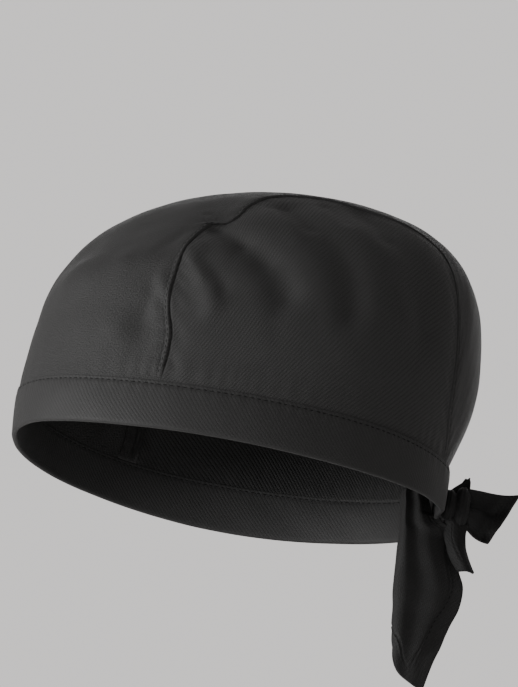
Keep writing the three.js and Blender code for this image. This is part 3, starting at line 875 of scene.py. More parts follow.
@dataclass
class HeadBand:
    """The folded band round the head opening, with the crown's foot held between its two plies."""

    form: Form
    stations: int = 460
    face_steps: int = 14
    lip: float = 0.42
    slot_depth: float = 2.2
    puff: float = 0.5
    stitch_drop: float = 1.7
    stitch_groove: float = 0.22
    groove_width: float = 0.7
    rim_roll: float = 0.35
    roll_run: float = 19.0
    roll_phase: float = 0.7
    roll_reach: float = 3.0
    fine_run: float = 4.0
    bend_steps: int = 7
    inner_puff_share: float = 0.6
    puff_power: float = 0.8
    pucker: float = 0.09
    pucker_sway: tuple[float, float, float] = (6.1, 2.2, 9.0)
    pucker_drop: float = 2.0
    pucker_width: float = 4.0
    plain_top: float = 3.0
    plain_inset: float = 0.1
    seed: int = 11
    waves: tuple[tuple[float, float], ...] = ((95, 0.5), (38, 0.22), (17, 0.1))

    def section(self) -> Array:
        """The band's section as places of inset and height from the rim, in millimetres."""
        wall, height = self.form.band_wall, self.form.band_height
        radius = wall / 2
        lip = self.lip / 2
        fine = self.fine_run
        bends = np.linspace(0, math.pi, self.bend_steps)
        rise = np.linspace(0, 1, self.face_steps)
        near = np.linspace(0, 1, self.bend_steps)[1:]
        up = np.concatenate([rise * (height - radius - fine) + radius, height - fine + near * (fine - lip)])
        outer = np.stack([np.zeros_like(up), up], axis=1)
        outer_lip = np.stack([lip - lip * np.cos(bends), height - lip + lip * np.sin(bends)], axis=1)[1:]
        floor = np.array([[self.lip, height - self.slot_depth], [wall - self.lip, height - self.slot_depth]])
        inner_lip = np.stack([wall - lip - lip * np.cos(bends), height - lip + lip * np.sin(bends)], axis=1)
        inner = np.stack([np.full_like(up, wall), up], axis=1)[::-1][1:]
        fold = np.stack([radius + radius * np.cos(bends), radius - radius * np.sin(bends)], axis=1)[1:-1]
        return np.vstack([outer, outer_lip, floor, inner_lip, inner, fold])

    def rings(self, angles: Array, section: Array) -> Array:
        """The band's rings at some angles, with its puff, its stitched groove and its puckers.

        Args:
            angles: The stations' angles.
            section: Places of inset and height.

        Returns:
            Stations by points by coordinates, in the row's frame.
        """
        height, wall = self.form.band_height, self.form.band_wall
        inset, up = section[:, 0][None, :], section[:, 1][None, :]
        angle = angles[:, None]
        along = angle * (self.form.rim_half_length + self.form.rim_half_width) / 2
        share = up / height
        outside = np.where(inset < wall / 2, 1.0, -self.inner_puff_share)
        swell = self.puff * np.sin(math.pi * np.clip(share, 0, 1)) ** self.puff_power
        groove = -self.stitch_groove * bump(up - (height - self.stitch_drop), self.groove_width)
        tug = self.pucker * swaying(along, *self.pucker_sway)
        pucker = tug * bump(up - height + self.pucker_drop, self.pucker_width)
        wave = ripples(along + 0 * up, up + 0 * along, self.seed, self.waves)
        in_wall = (inset > self.plain_inset) & (inset < wall - self.plain_inset)
        near_slot = (up > height - self.plain_top) & in_wall
        relief = np.where(near_slot, 0.0, outside * (swell + groove + pucker))
        relief = relief + wave * smooth_step(1 - share**4)
        roll = self.rim_roll * np.sin(along / self.roll_run + self.roll_phase)
        lift = roll * (1 - np.clip(share * self.roll_reach, 0, 1))
        return tilted(self.form.band_point(angle, share, inset - relief, lift))

    def stitch_path(self, inside: bool) -> Array:
        """The line of stitches below the band's top edge.

        Args:
            inside: Whether the line is on the band's inner face.

        Returns:
            The line's places.
        """
        end = self.form.band_end_angle() - 0.03
        wall, height = self.form.band_wall, self.form.band_height
        drop = height - self.stitch_drop
        section = np.array([[wall + 0.02 if inside else -0.02, drop]])
        angles = np.linspace(-end, end, 900)
        return self.rings(angles, section)[:, 0]

    def build(self, rack: Rack) -> None:
        """Builds and dresses the band.

        Args:
            rack: The finishes.
        """
        end = self.form.band_end_angle()
        angles = np.linspace(-end, end, self.stations + 1)
        band = loft_body("band_cloth", self.rings(angles, self.section()))
        finish_piece(band, rack.band, Slot.CAP, "head_band")


@dataclass
class Crown:
    """The crown's three panels, joined by two curved seams and set in the band's slot."""

    form: Form
    side_rows: int = 96
    side_columns: int = 128
    centre_columns: int = 120
    rise_rows: int = 64
    top_rows: int = 76
    foot_drop: float = 1.3
    allowance: float = 8.6
    # Heights, distances from the seam and runs of the relief beside it, in millimetres
    roll: float = 0.42
    roll_run: float = 1.1
    rear_roll_loss: float = 0.65
    welt_height: float = 0.62
    welt_rise: float = 0.7
    welt_end: float = 1.4
    welt_fall: float = 1.6
    bed_height: float = 0.3
    bed_rise: float = 2.0
    bed_end: float = 6.0
    bed_fall: float = 5.0
    rear_welt_loss: float = 0.6
    stitch_line: float = 2.5
    stitch_dent: float = 0.3
    stitch_dent_width: float = 0.6
    side_dip: float = 0.15
    side_dip_width: float = 3.0
    side_pucker: float = 0.12
    centre_pucker: float = 0.1
    pucker_place: float = 3.5
    pucker_width: float = 4.0
    pucker_sway: tuple[float, float, float] = (9.3, 3.1, 11.0)
    calm_run: float = 10.0
    # The same beside the band
    disc_run: float = 150.0
    settle_run: float = 6.0
    foot_pucker: float = 0.13
    foot_pucker_place: float = 3.0
    foot_pucker_width: float = 5.0
    foot_pucker_run: float = 2.0
    foot_pucker_sway: tuple[float, float, float] = (7.1, 2.4, 8.0)
    # Where the seam turns flatter towards the back, on the disc
    rear_start: float = 0.1
    rear_run: float = 0.5
    waves: tuple[tuple[float, float], ...] = ((78, 0.5), (36, 0.2), (16, 0.07))

    def seam(self, table: Sequence[tuple[float, float]], share: Array) -> Array:
        """Places along one stretch of the seam."""
        return spline(table, share)

    def foot(self, start: float, end: float, share: Array) -> Array:
        """Places along the crown's foot from one angle to another."""
        angle = lerp(start, end, share)
        return np.stack([np.sin(angle), np.cos(angle)], axis=-1)

    def patch(self, low: Array, high: Array, first: Array, last: Array, up: Array, along: Array) -> Array:
        """Fills the space between four edges.

        Args:
            low: Places along the lower edge.
            high: Places along the upper edge.
            first: Places up the first edge.
            last: Places up the last edge.
            up: The rows' shares.
            along: The columns' shares.

        Returns:
            Rows by columns by two.
        """
        u, a = up[:, None, None], along[None, :, None]
        place = low[None] * (1 - u) + high[None] * u + first[:, None] * (1 - a) + last[:, None] * a
        place = place - low[0] * (1 - u) * (1 - a) - low[-1] * (1 - u) * a
        return place - high[0] * u * (1 - a) - high[-1] * u * a

    def angles(self) -> tuple[float, float]:
        """The seam's angles at the foot, at the front and at the back."""
        front, back = self.form.seam_front[0], self.form.seam_back[-1]
        return math.atan2(front[0], front[1]), math.atan2(back[0], back[1])

    def side_places(self) -> Array:
        """Places of a side panel on the disc."""
        start, end = self.angles()
        along, up = crowded(self.side_columns), crowded(self.side_rows)
        low = self.foot(start, end, along)
        high = self.seam(self.form.seam_top, along)
        first = self.seam(self.form.seam_front, up)
        last = self.seam(self.form.seam_back, 1 - up)
        return self.patch(low, high, first, last, up, along)

    def centre_places(self) -> Array:
        """Places of the centre panel on the disc, from the front of the band to its back."""
        start, end = self.angles()
        along = crowded(self.centre_columns)
        rise, top = np.linspace(0, 1, self.rise_rows + 1), np.linspace(0, 1, self.top_rows + 1)
        seam = np.vstack([
            self.seam(self.form.seam_front, rise),
            self.seam(self.form.seam_top, top)[1:],
            self.seam(self.form.seam_back, rise)[1:],
        ])
        low = self.foot(-start, start, along)
        high = self.foot(2 * math.pi - end, end, along)
        up = np.linspace(0, 1, len(seam))
        return self.patch(low, high, seam * [-1, 1], seam, up, along)

    def foot_drops(self, way: Sequence[float]) -> Array:
        """The two steps down into the band's slot, the lower one first."""
        return np.array([1.0, 0.5])[:, None, None] * np.array(way) * self.foot_drop

    def add_foot(self, grid: Array, at_start: bool, at_end: bool) -> Array:
        """Adds rows that carry the cloth down into the band's slot.

        Args:
            grid: The panel's places in the cap's frame.
            at_start: Whether its first row stands on the band.
            at_end: Whether its last row does.

        Returns:
            The longer grid.
        """
        drops = self.foot_drops([0, 0, 1])
        parts = [grid]
        if at_start:
            parts.insert(0, grid[0][None] - drops)
        if at_end:
            parts.append(grid[-1][None] - drops[::-1])
        return np.concatenate(parts)

    def ledge(self, away: Array, height: float, rise: float, end: float, fall: float) -> Array:
        """A flat ledge beside the seam, which rises from it and falls off past its end."""
        return height * smooth_step(away / rise) * (1 - smooth_step((away - end) / fall))

    def surface(self, places: Array, seam_distance: Callable[[Array], Array], welt: bool, side: int,
                seed: int) -> tuple[Array, Array, Array]:
        """The two faces of a panel with its seam relief, puckers and undulation.

        Args:
            places: The panel's places on the disc.
            seam_distance: Gives each place's distance from the seam on a grid of the panel.
            welt: Whether the seam's allowance lies under this panel.
            side: 1 for the wearer's left and -1 for the right.
            seed: Seed of the undulation.

        Returns:
            The outer grid, the inner grid and the flat coordinates, the grids in the cap's frame.
        """
        left, front = places[..., 0] * side, places[..., 1]
        plain = self.form.crown_form(left, front)
        flat = flattened(plain)
        away = seam_distance(plain)
        foot = (1 - np.hypot(left, front)) * self.disc_run
        settle = smooth_step(foot / self.settle_run)
        rear = smooth_step((self.rear_start - front) / self.rear_run)
        edge = -self.roll * (1 - self.rear_roll_loss * rear) * (1 - np.clip(away / self.roll_run, 0, 1)) ** 2
        if welt:
            raised = self.ledge(away, self.welt_height, self.welt_rise, self.welt_end, self.welt_fall)
            raised += self.ledge(away, self.bed_height, self.bed_rise, self.bed_end, self.bed_fall)
            raised *= 1 - self.rear_welt_loss * rear
            groove = -self.stitch_dent * bump(away - self.stitch_line, self.stitch_dent_width)
        else:
            raised = -self.side_dip * bump(away - self.side_dip_width, self.side_dip_width)
            groove = np.zeros_like(away)
        along = flat[..., 1] if welt else flat[..., 1] + flat[..., 0]
        tug = (self.centre_pucker if welt else self.side_pucker) * swaying(along, *self.pucker_sway)
        pucker = tug * bump(away - self.pucker_place, self.pucker_width)
        foot_tug = self.foot_pucker * swaying(flat[..., 0], *self.foot_pucker_sway)
        foot_tug = foot_tug * bump(foot - self.foot_pucker_place, self.foot_pucker_width)
        wave = ripples(flat[..., 0], flat[..., 1], seed, self.waves) * smooth_step(away / self.calm_run)
        extra = settle * (edge + raised + groove + pucker + wave)
        extra = extra + foot_tug * smooth_step(foot / self.foot_pucker_run)
        outer = self.form.crown_point(left, front, extra)
        inner = self.form.crown_point(left, front, extra - self.form.crown_wall)
        return outer, inner, flat

    def draw_in(self, grid: Array, rows: bool) -> Array:
        """Moves the edges on the seam in by half of the seam's gap."""
        grid = grid.copy()
        half = SEAM_GAP / 4
        grid[:, 0] += unit(grid[:, 1] - grid[:, 0]) * half
        grid[:, -1] += unit(grid[:, -2] - grid[:, -1]) * half
        if rows:
            grid[-1] += unit(grid[-2] - grid[-1]) * half
        return grid

    def build_side(self, side: int, rack: Rack) -> None:
        """Builds and dresses a side panel.

        Args:
            side: 1 for the wearer's left and -1 for the right.
            rack: The finishes.
        """
        def distance(grid: Array) -> Array:
            across, up = run_along(grid, 1), run_along(grid, 0)
            return np.minimum(np.minimum(across, across[:, -1:] - across), up[-1:] - up)

        outer, inner, flat = self.surface(self.side_places(), distance, False, side, 21 + side)
        outer, inner = (self.draw_in(face, True) for face in (outer, inner))
        outer, inner = (tilted(self.add_foot(face, True, False)) for face in (outer, inner))
        drops = self.foot_drops([0, 1])
        flat = np.concatenate([flat[0][None] - drops, flat])
        flat = flat * [side, 1]
        word = "left" if side > 0 else "right"
        panel = sheet_body(f"side_panel_{word}_cloth", outer, inner, flat, 0.35)
        finish_piece(panel, rack.side, Slot.CAP, f"crown_side_panel_{word}")

    def build_centre(self, rack: Rack) -> dict[str, Array]:
        """Builds and dresses the centre panel.

        Args:
            rack: The finishes.

        Returns:
            The panel's two faces' grids in the row's frame.
        """
        def distance(grid: Array) -> Array:
            across = run_along(grid, 1)
            return np.minimum(across, across[:, -1:] - across)

        outer, inner, flat = self.surface(self.centre_places(), distance, True, 1, 31)
        outer, inner = (self.draw_in(face, False) for face in (outer, inner))
        faces = {"outer": tilted(outer), "inner": tilted(inner)}
        outer, inner = (tilted(self.add_foot(face, True, True)) for face in (outer, inner))
        drops = self.foot_drops([0, 1])
        flat = np.concatenate([flat[0][None] - drops, flat, flat[-1][None] + drops[::-1]])
        panel = sheet_body("centre_panel_cloth", outer, inner, flat, 0.35)
        finish_piece(panel, rack.centre, Slot.CAP, "crown_centre_panel")
        return faces

    def beside_seam(self, grid: Array, distances: Array, right: bool) -> Array:
        """Places on the centre panel at given distances from one of its seams.

        Args:
            grid: One face of the panel.
            distances: Distances from the seam.
            right: Whether the seam is the one on the wearer's right.

        Returns:
            Rows by distances by three.
        """
        lines = grid if right else grid[:, ::-1]
        run = run_along(lines, 1)
        strip = np.empty((len(lines), len(distances), 3))
        for r, (line, length) in enumerate(zip(lines, run)):
            for k in range(3):
                strip[r, :, k] = np.interp(distances, length, line[:, k])
            before = distances < 0
            strip[r, before] = line[0] + unit(line[1] - line[0]) * distances[before][:, None]
        return strip

    def build_allowances(self, faces: dict[str, Array], rack: Rack) -> None:
        """Builds the turned seam allowances inside the crown.

        Args:
            faces: The centre panel's faces.
            rack: The finishes.
        """
        out = unit(faces["outer"] - faces["inner"])
        for right, word in ((True, "right"), (False, "left")):
            distances = np.concatenate([[-1.6, -0.8], np.linspace(0, self.allowance, 12)])
            near = self.beside_seam(faces["inner"] - out * 0.08, distances, right)
            far = self.beside_seam(faces["inner"] - out * 0.6, distances, right)
            strip = sheet_body(f"seam_allowance_{word}", near, far, flattened(near), 0.8)
            finish_piece(strip, rack.centre, Slot.CAP)

    def stitch_paths(self, faces: dict[str, Array]) -> list[Array]:
        """The lines of stitches along the seams, on the centre panel."""
        distances = np.array([self.stitch_line])
        return [self.beside_seam(faces["outer"], distances, right)[3:-3, 0] for right in (True, False)]


@dataclass
class Tail:
    """The pointed hemmed flap inside the back of the band, folded along its front."""

    form: Form
    length: float = 104.2
    reach: float = 36.0
    wall: float = 1.5
    tuck: float = 15.0
    rows: int = 150
    far_columns: int = 40
    near_columns: int = 90
    part_share: float = 0.1
    hem: float = 5.2
    hem_growth: float = 4.5
    crease_share: float = 0.5
    under_place: float = 0.29
    under_run: float = 0.14
    under_start: float = 0.179
    under_rise: float = 0.014
    under_reach: float = 5.0
    under_depth: float = 3.4
    under_turn: float = 0.3
    under_turn_run: float = 0.06
    under_front: float = 3.0
    under_power: int = 7
    # The hem's relief, its stitches' rows and the slack folds, in millimetres or rows of the grid
    hem_growth_start: float = 52.0
    hem_growth_run: float = 30.0
    hem_rise: float = 0.5
    hem_edge: float = 0.9
    hem_dent: float = 0.28
    hem_dent_width: float = 0.6
    plain_top: float = 8.0
    plain_top_run: float = 12.0
    first_stitch_row: int = 18
    last_stitch_row: int = 124
    slack: float = 0.28
    slack_place: float = 50.0
    slack_width: float = 34.0
    point_run: float = 10.0
    seed: int = 41
    waves: tuple[tuple[float, float], ...] = ((44, 0.55), (21, 0.25), (11, 0.1))
    # Share of the length, then fold line, reach, spread, start and crease of the section there
    sections: tuple[tuple[float, float, float, float, float, float], ...] = (
        (0, 0.02, -0.14, 0.6, -1, 0),
        (0.03, 0.24, 0.08, 0.5, -1, 0.3),
        (0.065, 0.44, 0.32, 0.36, -1, 0.8),
        (0.147, 0.475, 0.42, 0.28, -0.97, 1),
        (0.225, 0.492, 0.47, 0.24, -0.93, 1),
        (0.262, 0.5, 0.6, 0.235, -0.91, 1),
        (0.3, 0.508, 0.635, 0.23, -0.89, 1),
        (0.35, 0.52, 0.67, 0.22, -0.85, 1),
        (0.442, 0.545, 0.81, 0.2, -0.78, 1),
        (0.525, 0.57, 0.92, 0.2, -0.71, 1),
        (0.625, 0.59, 0.89, 0.19, -0.6, 1),
        (0.717, 0.608, 0.77, 0.18, -0.38, 1),
        (0.805, 0.62, 0.66, 0.16, 0, 0.9),
        (0.87, 0.622, 0.56, 0.13, 0.17, 0.75),
        (0.935, 0.625, 0.48, 0.1, 0.48, 0.6),
        (1, 0.628, 0.41, 0.08, 0.93, 0.5),
    )
    profile: tuple[tuple[float, float], ...] = (
        (-1, -0.9), (-0.6, -0.95), (-0.3, -0.7), (0, 0), (0.36, 1),
        (0.6, 0.6), (0.78, 0.85), (0.9, 0.35), (1, 0))

    def grid(self) -> Array:
        """The tail's outer face, measured from the middle of the band's back."""
        drop = np.linspace(0, 1, self.rows + 1)[:, None]
        section = [keyed(self.sections, k, drop) for k in range(6)]
        _, fold, reach, spread, start, crease = section
        part = lerp(np.maximum(start, 0), 1, self.part_share)
        far = lerp(start, part, np.linspace(0, 1, self.far_columns + 1)[None, :-1])
        near = lerp(part, 1, np.linspace(0, 1, self.near_columns + 1)[None, :])
        along = np.concatenate([far, near], axis=1)
        out = lerp(along, keyed(self.profile, 1, along), crease)
        under = bump(drop - self.under_place, self.under_run) * np.maximum(along, 0) ** self.under_power
        under *= smooth_step((drop - self.under_start) / self.under_rise)
        turn = smooth_step((self.under_turn - drop) / self.under_turn_run)
        shift = lerp(-self.under_depth, self.under_front, turn) * under
        return np.stack([
            self.reach * spread * self.crease_share * out + shift,
            self.reach * (reach * along * along - fold) + self.under_reach * under,
            -self.length * drop + 0 * along,
        ], axis=-1)

    def place(self) -> Array:
        """Where the middle of the tail's top stands, in the row's frame."""
        back = self.form.rim_half_length + max(self.form.back_lean, 0) - self.form.band_end_pull
        inside = tilted(np.array([0.0, back - self.form.band_wall, self.form.band_height / 2]))
        return inside + [0, -SEAM_GAP, self.tuck]

    def build(self, rack: Rack) -> list[Array]:
        """Builds and dresses the tail.

        Args:
            rack: The finishes.

        Returns:
            The lines of its stitches.
        """
        grid = self.grid()
        normal = grid_normals(grid)
        flat = flattened(grid)
        across = run_along(grid, 1)
        along = run_along(grid, 0)
        near_edge = across[:, -1:] - across
        far_edge = across
        growth = smooth_step((along - self.hem_growth_start) / self.hem_growth_run)
        near_hem = self.hem + self.hem_growth * growth
        side = np.minimum(near_edge - near_hem, far_edge - self.hem)
        rise = self.hem_rise * (1 - smooth_step(side / self.hem_edge))
        rise -= self.hem_dent * bump(side + self.hem_edge, self.hem_dent_width)
        rise *= smooth_step((along - self.plain_top) / self.plain_top_run)
        wave = ripples(flat[..., 0], flat[..., 1], self.seed, self.waves)
        slant = np.sin((flat[..., 0] * 0.8 + flat[..., 1] * 0.35) / 5.5 + np.sin(flat[..., 1] / 14))
        slack = self.slack * slant * bump(along - self.slack_place, self.slack_width)
        relief = (rise + wave + slack)[..., None] * normal
        fade = smooth_step((self.length - along) / self.point_run)[..., None]
        outer = grid + relief * fade
        inner = outer + normal * -self.wall
        if normal[20, -20, 0] < 0:
            inner = outer + normal * self.wall
        outer, inner = outer + self.place(), inner + self.place()
        tail = sheet_body("tail_cloth", outer, inner, flat)
        finish_piece(tail, rack.tail, Slot.CAP, "tail")
        lines = []
        for edge, hem, columns in (
                (near_edge, near_hem, slice(None, None, -1)), (far_edge, self.hem + 0 * along, slice(None))):
            line = np.array([
                [np.interp(hem[r, 0] - self.hem_edge, edge[r, columns], outer[r, columns, k]) for k in range(3)]
                for r in range(self.first_stitch_row, self.last_stitch_row)])
            lines.append(line)
        return lines


@dataclass
class Knot:
    """The tied ends of the band: the knot's wraps, the end behind it, the hanging end and the corner."""

    form: Form
    half_width: float = 9.0
    half_height: float = 10.2
    depth: float = 12.8
    raise_: float = 1.5
    neck_half_width: float = 3.6
    neck_half_height: float = 5.0
    squareness: float = 2.5
    wall: float = 1.9
    back_length: float = 23.6
    back_rise: float = 4.2
    back_drop: float = 5.0
    back_foot_share: float = 0.52
    back_pleat: float = 2.4
    back_pleat_end: float = 0.35
    back_sway: float = 3.2
    drop_length: float = 21.2
    drop_width: float = 9.9
    drop_end_share: float = 0.636
    drop_bulge: float = 2.6
    drop_root_bulge: float = 2.6
    drop_lean: float = 9.6
    drop_out: float = 3.2
    drop_place: float = 3.5
    corner_height: float = 15.4
    corner_width: float = 10.4
    corner_place: float = 2.0
    corner_tip: float = 11.6
    corner_point: float = 0.7
    # The ends' hems and undulation, in millimetres
    thin_share: float = 0.8
    root_run: float = 5.0
    hem_width: float = 4.2
    hem_edge: float = 0.7
    hem_rise: float = 0.25
    hem_dent: float = 0.15
    hem_dent_place: float = 3.5
    hem_dent_width: float = 0.5
    waves: tuple[tuple[float, float], ...] = ((24, 0.35), (11, 0.16), (6, 0.06))
    # Share of the depth, then width, height and lift of the section there
    sections: tuple[tuple[float, float, float, float], ...] = (
        (0, 0.8, 0.6, -0.02),
        (0.14, 0.98, 0.73, -0.03),
        (0.35, 1, 0.76, -0.03),
        (0.5, 0.88, 0.68, -0.02),
        (0.6, 0.94, 0.9, 0),
        (0.82, 0.94, 1, 0.01),
        (1, 0.68, 0.8, -0.03),
    )

    def place(self) -> Array:
        """The middle of the knot's face on the band, in the cap's frame."""
        back = self.form.rim_half_length + max(self.form.back_lean, 0) - self.form.band_end_pull
        return np.array([0, back + SEAM_GAP, self.form.band_height / 2 + self.raise_])

    def ring(self, width: Array, height: Array, y: Array, z: Array, angle: Array) -> Array:
        """A ring of the knot, squarer than an ellipse."""
        x = width * squared(np.cos(angle), self.squareness)
        return np.stack([x, y + 0 * x, z + height * squared(np.sin(angle), self.squareness)], axis=-1)

    def build_wraps(self, rack: Rack) -> None:
        """Builds and dresses the knot's wraps, creased along the way that they are wound.

        Args:
            rack: The finishes.
        """
        angle = np.linspace(0, 2 * math.pi, 145)[None, :-1]
        at = np.linspace(0, 1, 72)[:, None]
        skew = at + 0.05 * np.sin(angle + 0.6) * np.sin(math.pi * at)
        width, height, lift = (keyed(self.sections, k, skew) for k in (1, 2, 3))
        crease = 0.012 * np.sin(skew * 2 * math.pi * 3.3 + 1.6 * np.sin(angle + 1)) * smooth_step(at * 8)
        crease += 0.01 * np.sin(skew * 2 * math.pi * 7.7 + 2.6 * np.sin(angle + 2.2))
        tuck = -0.05 * bump(skew - 0.5 - 0.03 * np.sin(angle), 0.035)
        swell = 1 + (crease + tuck) * smooth_step((1 - at) * 6)
        wraps = self.ring(
            self.half_width * width * swell, self.half_height * height * swell, self.depth * at,
            self.half_height * lift, angle)
        neck_depth = self.form.band_wall + SEAM_GAP
        neck = [self.ring(
            np.array(self.neck_half_width * 0.93), np.array(self.neck_half_height * 0.95),
            np.array(-neck_depth * share), np.array(0.0), angle[0]) for share in (1, 0.5, 0.02)]
        cap = [wraps[-1] * [s, 1, s] + [0, d, 0] for s, d in ((0.8, 0.3), (0.5, 0.45), (0.2, 0.5))]
        rings = tilted(np.concatenate([neck, wraps, cap]) + self.place())
        knot = loft_body("knot_cloth", rings)
        finish_piece(knot, rack.tie, Slot.TIE, "knot")

    def hemmed(self, name: str, node: str, grid: Array, edges: Array, seed: int, rack: Rack) -> None:
        """Builds and dresses one hemmed end of the tie.

        Args:
            name: The piece's name.
            node: The solid that it replaces.
            grid: Its places, measured as the knot is.
            edges: Each place's distance from the nearest hemmed edge.
            seed: Seed of its undulation.
            rack: The finishes.
        """
        normal = grid_normals(grid)
        flat = flattened(grid)
        root = smooth_step(run_along(grid, 0) / self.root_run)
        hem = self.hem_rise * (1 - smooth_step((edges - self.hem_width) / self.hem_edge))
        hem -= self.hem_dent * bump(edges - self.hem_dent_place, self.hem_dent_width)
        wave = ripples(flat[..., 0], flat[..., 1], seed, self.waves)
        outer = grid + normal * ((hem + wave) * root)[..., None]
        inner = outer - normal * self.wall * self.thin_share
        outer, inner = (tilted(face + self.place()) for face in (outer, inner))
        piece = sheet_body(name, outer, inner, flat)
        finish_piece(piece, rack.tie, Slot.TIE, node)

    def build_back(self, rack: Rack) -> None:
        """Builds the end that stands out behind the knot.

        Args:
            rack: The finishes.
        """
        root = self.sections[-1]
        top, foot = self.half_height * (root[2] + root[3]), self.half_height * (root[3] - root[2])
        out = np.linspace(0, 1, 61)[:, None]
        down = np.linspace(0, 1, 81)[None, :]
        pleat = self.back_pleat * lerp(1, self.back_pleat_end, out)
        sway = self.back_sway * np.cos(math.pi * (0.1 + 1.3 * out))
        fine = 0.5 * np.cos(math.pi * 7 * down + 0.8) * (1 - out) ** 0.7
        reach = self.back_length * out * lerp(1, self.back_foot_share, down)
        tuck = -1.6 * (1 - smooth_step(out * 6))
        grid = np.stack([
            sway + pleat * np.cos(3 * math.pi * down) + fine,
            self.depth + SEAM_GAP + reach + tuck,
            lerp(top + self.back_rise * out, foot - self.back_drop * out, down),
        ], axis=-1)
        edge = np.minimum(run_along(grid, 0)[-1:] - run_along(grid, 0), run_along(grid, 1))
        edge = np.minimum(edge, run_along(grid, 1)[:, -1:] - run_along(grid, 1))
        self.hemmed("tie_back_cloth", "tie_end_back", grid, edge, 51, rack)

    def build_hanging(self, rack: Rack) -> None:
        """Builds the end that hangs below the knot.

        Args:
            rack: The finishes.
        """
        down = np.linspace(0, 1, 61)[:, None]
        across = np.linspace(0, 1, 61)[None, :]
        bulge = lerp(self.drop_root_bulge, self.drop_bulge, down)
        width = self.drop_width * lerp(1, self.drop_end_share, down)
        x = self.drop_out * down + bulge * (1 - (2 * across - 1) ** 2)
        y = self.drop_place + self.drop_lean * down * down + width * across
        share = np.clip(y / self.depth, 0, 1)
        wide, high, lift = (keyed(self.sections, k, share) for k in (1, 2, 3))
        aside = np.minimum(np.abs(x) / (self.half_width * wide), 1)
        bow = (1 - aside**self.squareness) ** (1 / self.squareness)
        root = self.half_height * (lift - high * bow) + 0.6
        z = lerp(root, -self.half_height - self.drop_length, down)
        grid = np.stack([x, y, z], axis=-1)
        edge = np.minimum(run_along(grid, 1), run_along(grid, 1)[:, -1:] - run_along(grid, 1))
        edge = np.minimum(edge, run_along(grid, 0)[-1:] - run_along(grid, 0))
        self.hemmed("tie_hanging_cloth", "tie_end_hanging", grid, edge, 61, rack)

    def build_corner(self, rack: Rack) -> None:
        """Builds the corner of cloth that stands up out of the knot.

        Args:
            rack: The finishes.
        """
        up = np.linspace(0, 1, 25)[:, None]
        across = np.linspace(0, 1, 31)[None, :]
        foot = self.corner_place + self.corner_width * across
        share = foot / self.depth
        root = self.half_height * (keyed(self.sections, 2, share) + keyed(self.sections, 3, share)) - 0.8
        tip = self.corner_tip + self.corner_point * (across - 0.5)
        y = lerp(foot, tip, up)
        z = lerp(root, self.corner_height, up ** 0.92)
        grid = np.stack([0.9 * np.sin(2 * math.pi * across + 0.5) * (1 - up) + 0 * y, y, z], axis=-1)
        edge = np.full(grid.shape[:2], 9.0)
        self.hemmed("knot_corner_cloth", "knot_corner", grid, edge, 71, rack)


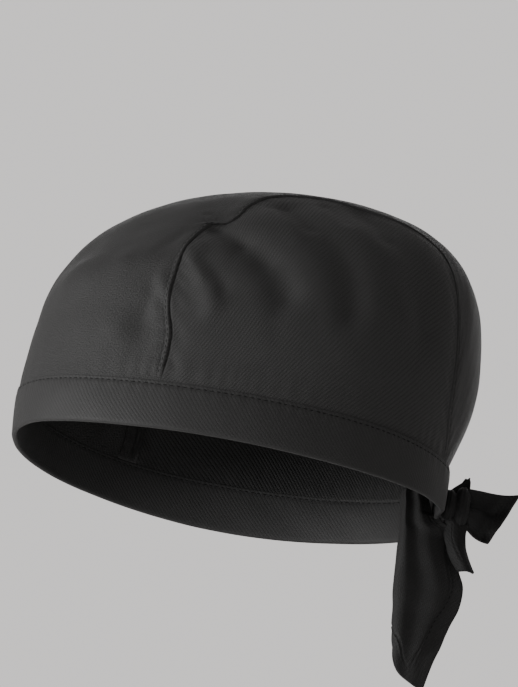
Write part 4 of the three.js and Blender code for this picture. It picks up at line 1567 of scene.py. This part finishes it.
@dataclass(frozen=True)
class Studio:
    """The camera at the photo's angle, soft light and a pale floor. Places are metres."""

    eye: tuple[float, float, float] = (1.2519, -0.1539, -0.3211)
    way_back: tuple[float, float, float] = (0.946, -0.128, -0.297)
    lens: float = 141.7
    floor_height: float = -0.62
    floor_half: float = 40.0
    pale: tuple[float, float, float] = (0.72, 0.70, 0.69)
    sky_seen: float = 1.25
    sky_light: float = 0.62
    sensor_width: float = 36.0
    clip: tuple[float, float] = (0.01, 200.0)
    aim: tuple[float, float, float] = (0.0, 0.02, 0.03)
    floor_colour: tuple[float, float, float, float] = (0.86, 0.85, 0.84, 1.0)
    floor_roughness: float = 0.9
    # Each light's name, place, size and power in watts
    lights: tuple[tuple[str, tuple[float, float, float], float, float], ...] = (
        ("key", (0.6, -1.82, 0.12), 0.8, 54.0),
        ("fill", (1.5, -0.4, -0.5), 1.0, 6.0),
        ("back", (-1.9, 0.5, 0.8), 1.6, 18.0),
    )

    def light(self, name: str, place: tuple[float, float, float], size: float, power: float) -> None:
        """Adds a square soft light that faces the cap."""
        lamp = bpy.data.lights.new(name, "AREA")
        lamp.size = size
        lamp.energy = power
        holder = bpy.data.objects.new(name, lamp)
        holder.location = place
        aim = Vector(self.aim) - Vector(place)
        holder.rotation_euler = aim.to_track_quat("-Z", "Y").to_euler()
        bpy.context.scene.collection.objects.link(holder)

    def build(self) -> None:
        """Builds the camera, the lights, the world and the floor."""
        scene = bpy.context.scene
        lens = bpy.data.cameras.new("camera")
        lens.lens = self.lens
        lens.sensor_width = self.sensor_width
        lens.clip_start, lens.clip_end = self.clip
        camera = bpy.data.objects.new("camera", lens)
        camera.location = self.eye
        camera.rotation_mode = "QUATERNION"
        camera.rotation_quaternion = (-Vector(self.way_back)).to_track_quat("-Z", "Y")
        scene.collection.objects.link(camera)
        scene.camera = camera
        for light in self.lights:
            self.light(*light)
        world = bpy.data.worlds.new("studio")
        world.use_nodes = True
        tree = world.node_tree
        back = tree.nodes["Background"]
        back.inputs[0].default_value = (*self.pale, 1.0)
        seen = tree.nodes.new("ShaderNodeLightPath")
        strength = tree.nodes.new("ShaderNodeMapRange")
        strength.inputs["To Min"].default_value = self.sky_light
        strength.inputs["To Max"].default_value = self.sky_seen
        tree.links.new(seen.outputs["Is Camera Ray"], strength.inputs["Value"])
        tree.links.new(strength.outputs["Result"], back.inputs[1])
        scene.world = world
        mesh = bpy.data.meshes.new("floor")
        h, z = self.floor_half, self.floor_height
        mesh.from_pydata([(-h, -h, z), (h, -h, z), (h, h, z), (-h, h, z)], [], [(0, 1, 2, 3)])
        floor = bpy.data.objects.new("floor", mesh)
        shader = Shader("floor")
        surface = shader.node("ShaderNodeBsdfPrincipled", {}, {
            "Base Color": self.floor_colour, "Roughness": self.floor_roughness})
        shader.node("ShaderNodeOutputMaterial", {}, {0: surface.outputs[0]})
        mesh.materials.append(shader.material)
        scene.collection.objects.link(floor)


def main() -> None:
    """Builds the studio and every piece of the cap in order."""
    logging.basicConfig(level=logging.INFO, format="%(message)s")
    Studio().build()
    rack = Rack()
    form = Form()
    band = HeadBand(form)
    band.build(rack)
    crown = Crown(form)
    crown.build_side(1, rack)
    crown.build_side(-1, rack)
    faces = crown.build_centre(rack)
    crown.build_allowances(faces, rack)
    tail_lines = Tail(form).build(rack)
    knot = Knot(form)
    knot.build_wraps(rack)
    knot.build_back(rack)
    knot.build_hanging(rack)
    knot.build_corner(rack)
    rows = (
        (StitchRow("band_stitches", 3.1, 2.2, 0.5), [band.stitch_path(False), band.stitch_path(True)]),
        (StitchRow("seam_stitches", 2.9, 2.2, 0.4), crown.stitch_paths(faces)),
        (StitchRow("tail_stitches", 2.9, 2.2, 0.4), tail_lines),
    )
    for row, paths in rows:
        finish_piece(row.sew(paths, rack.thread), rack.thread, Slot.CAP)


if __name__ == "__main__":
    main()
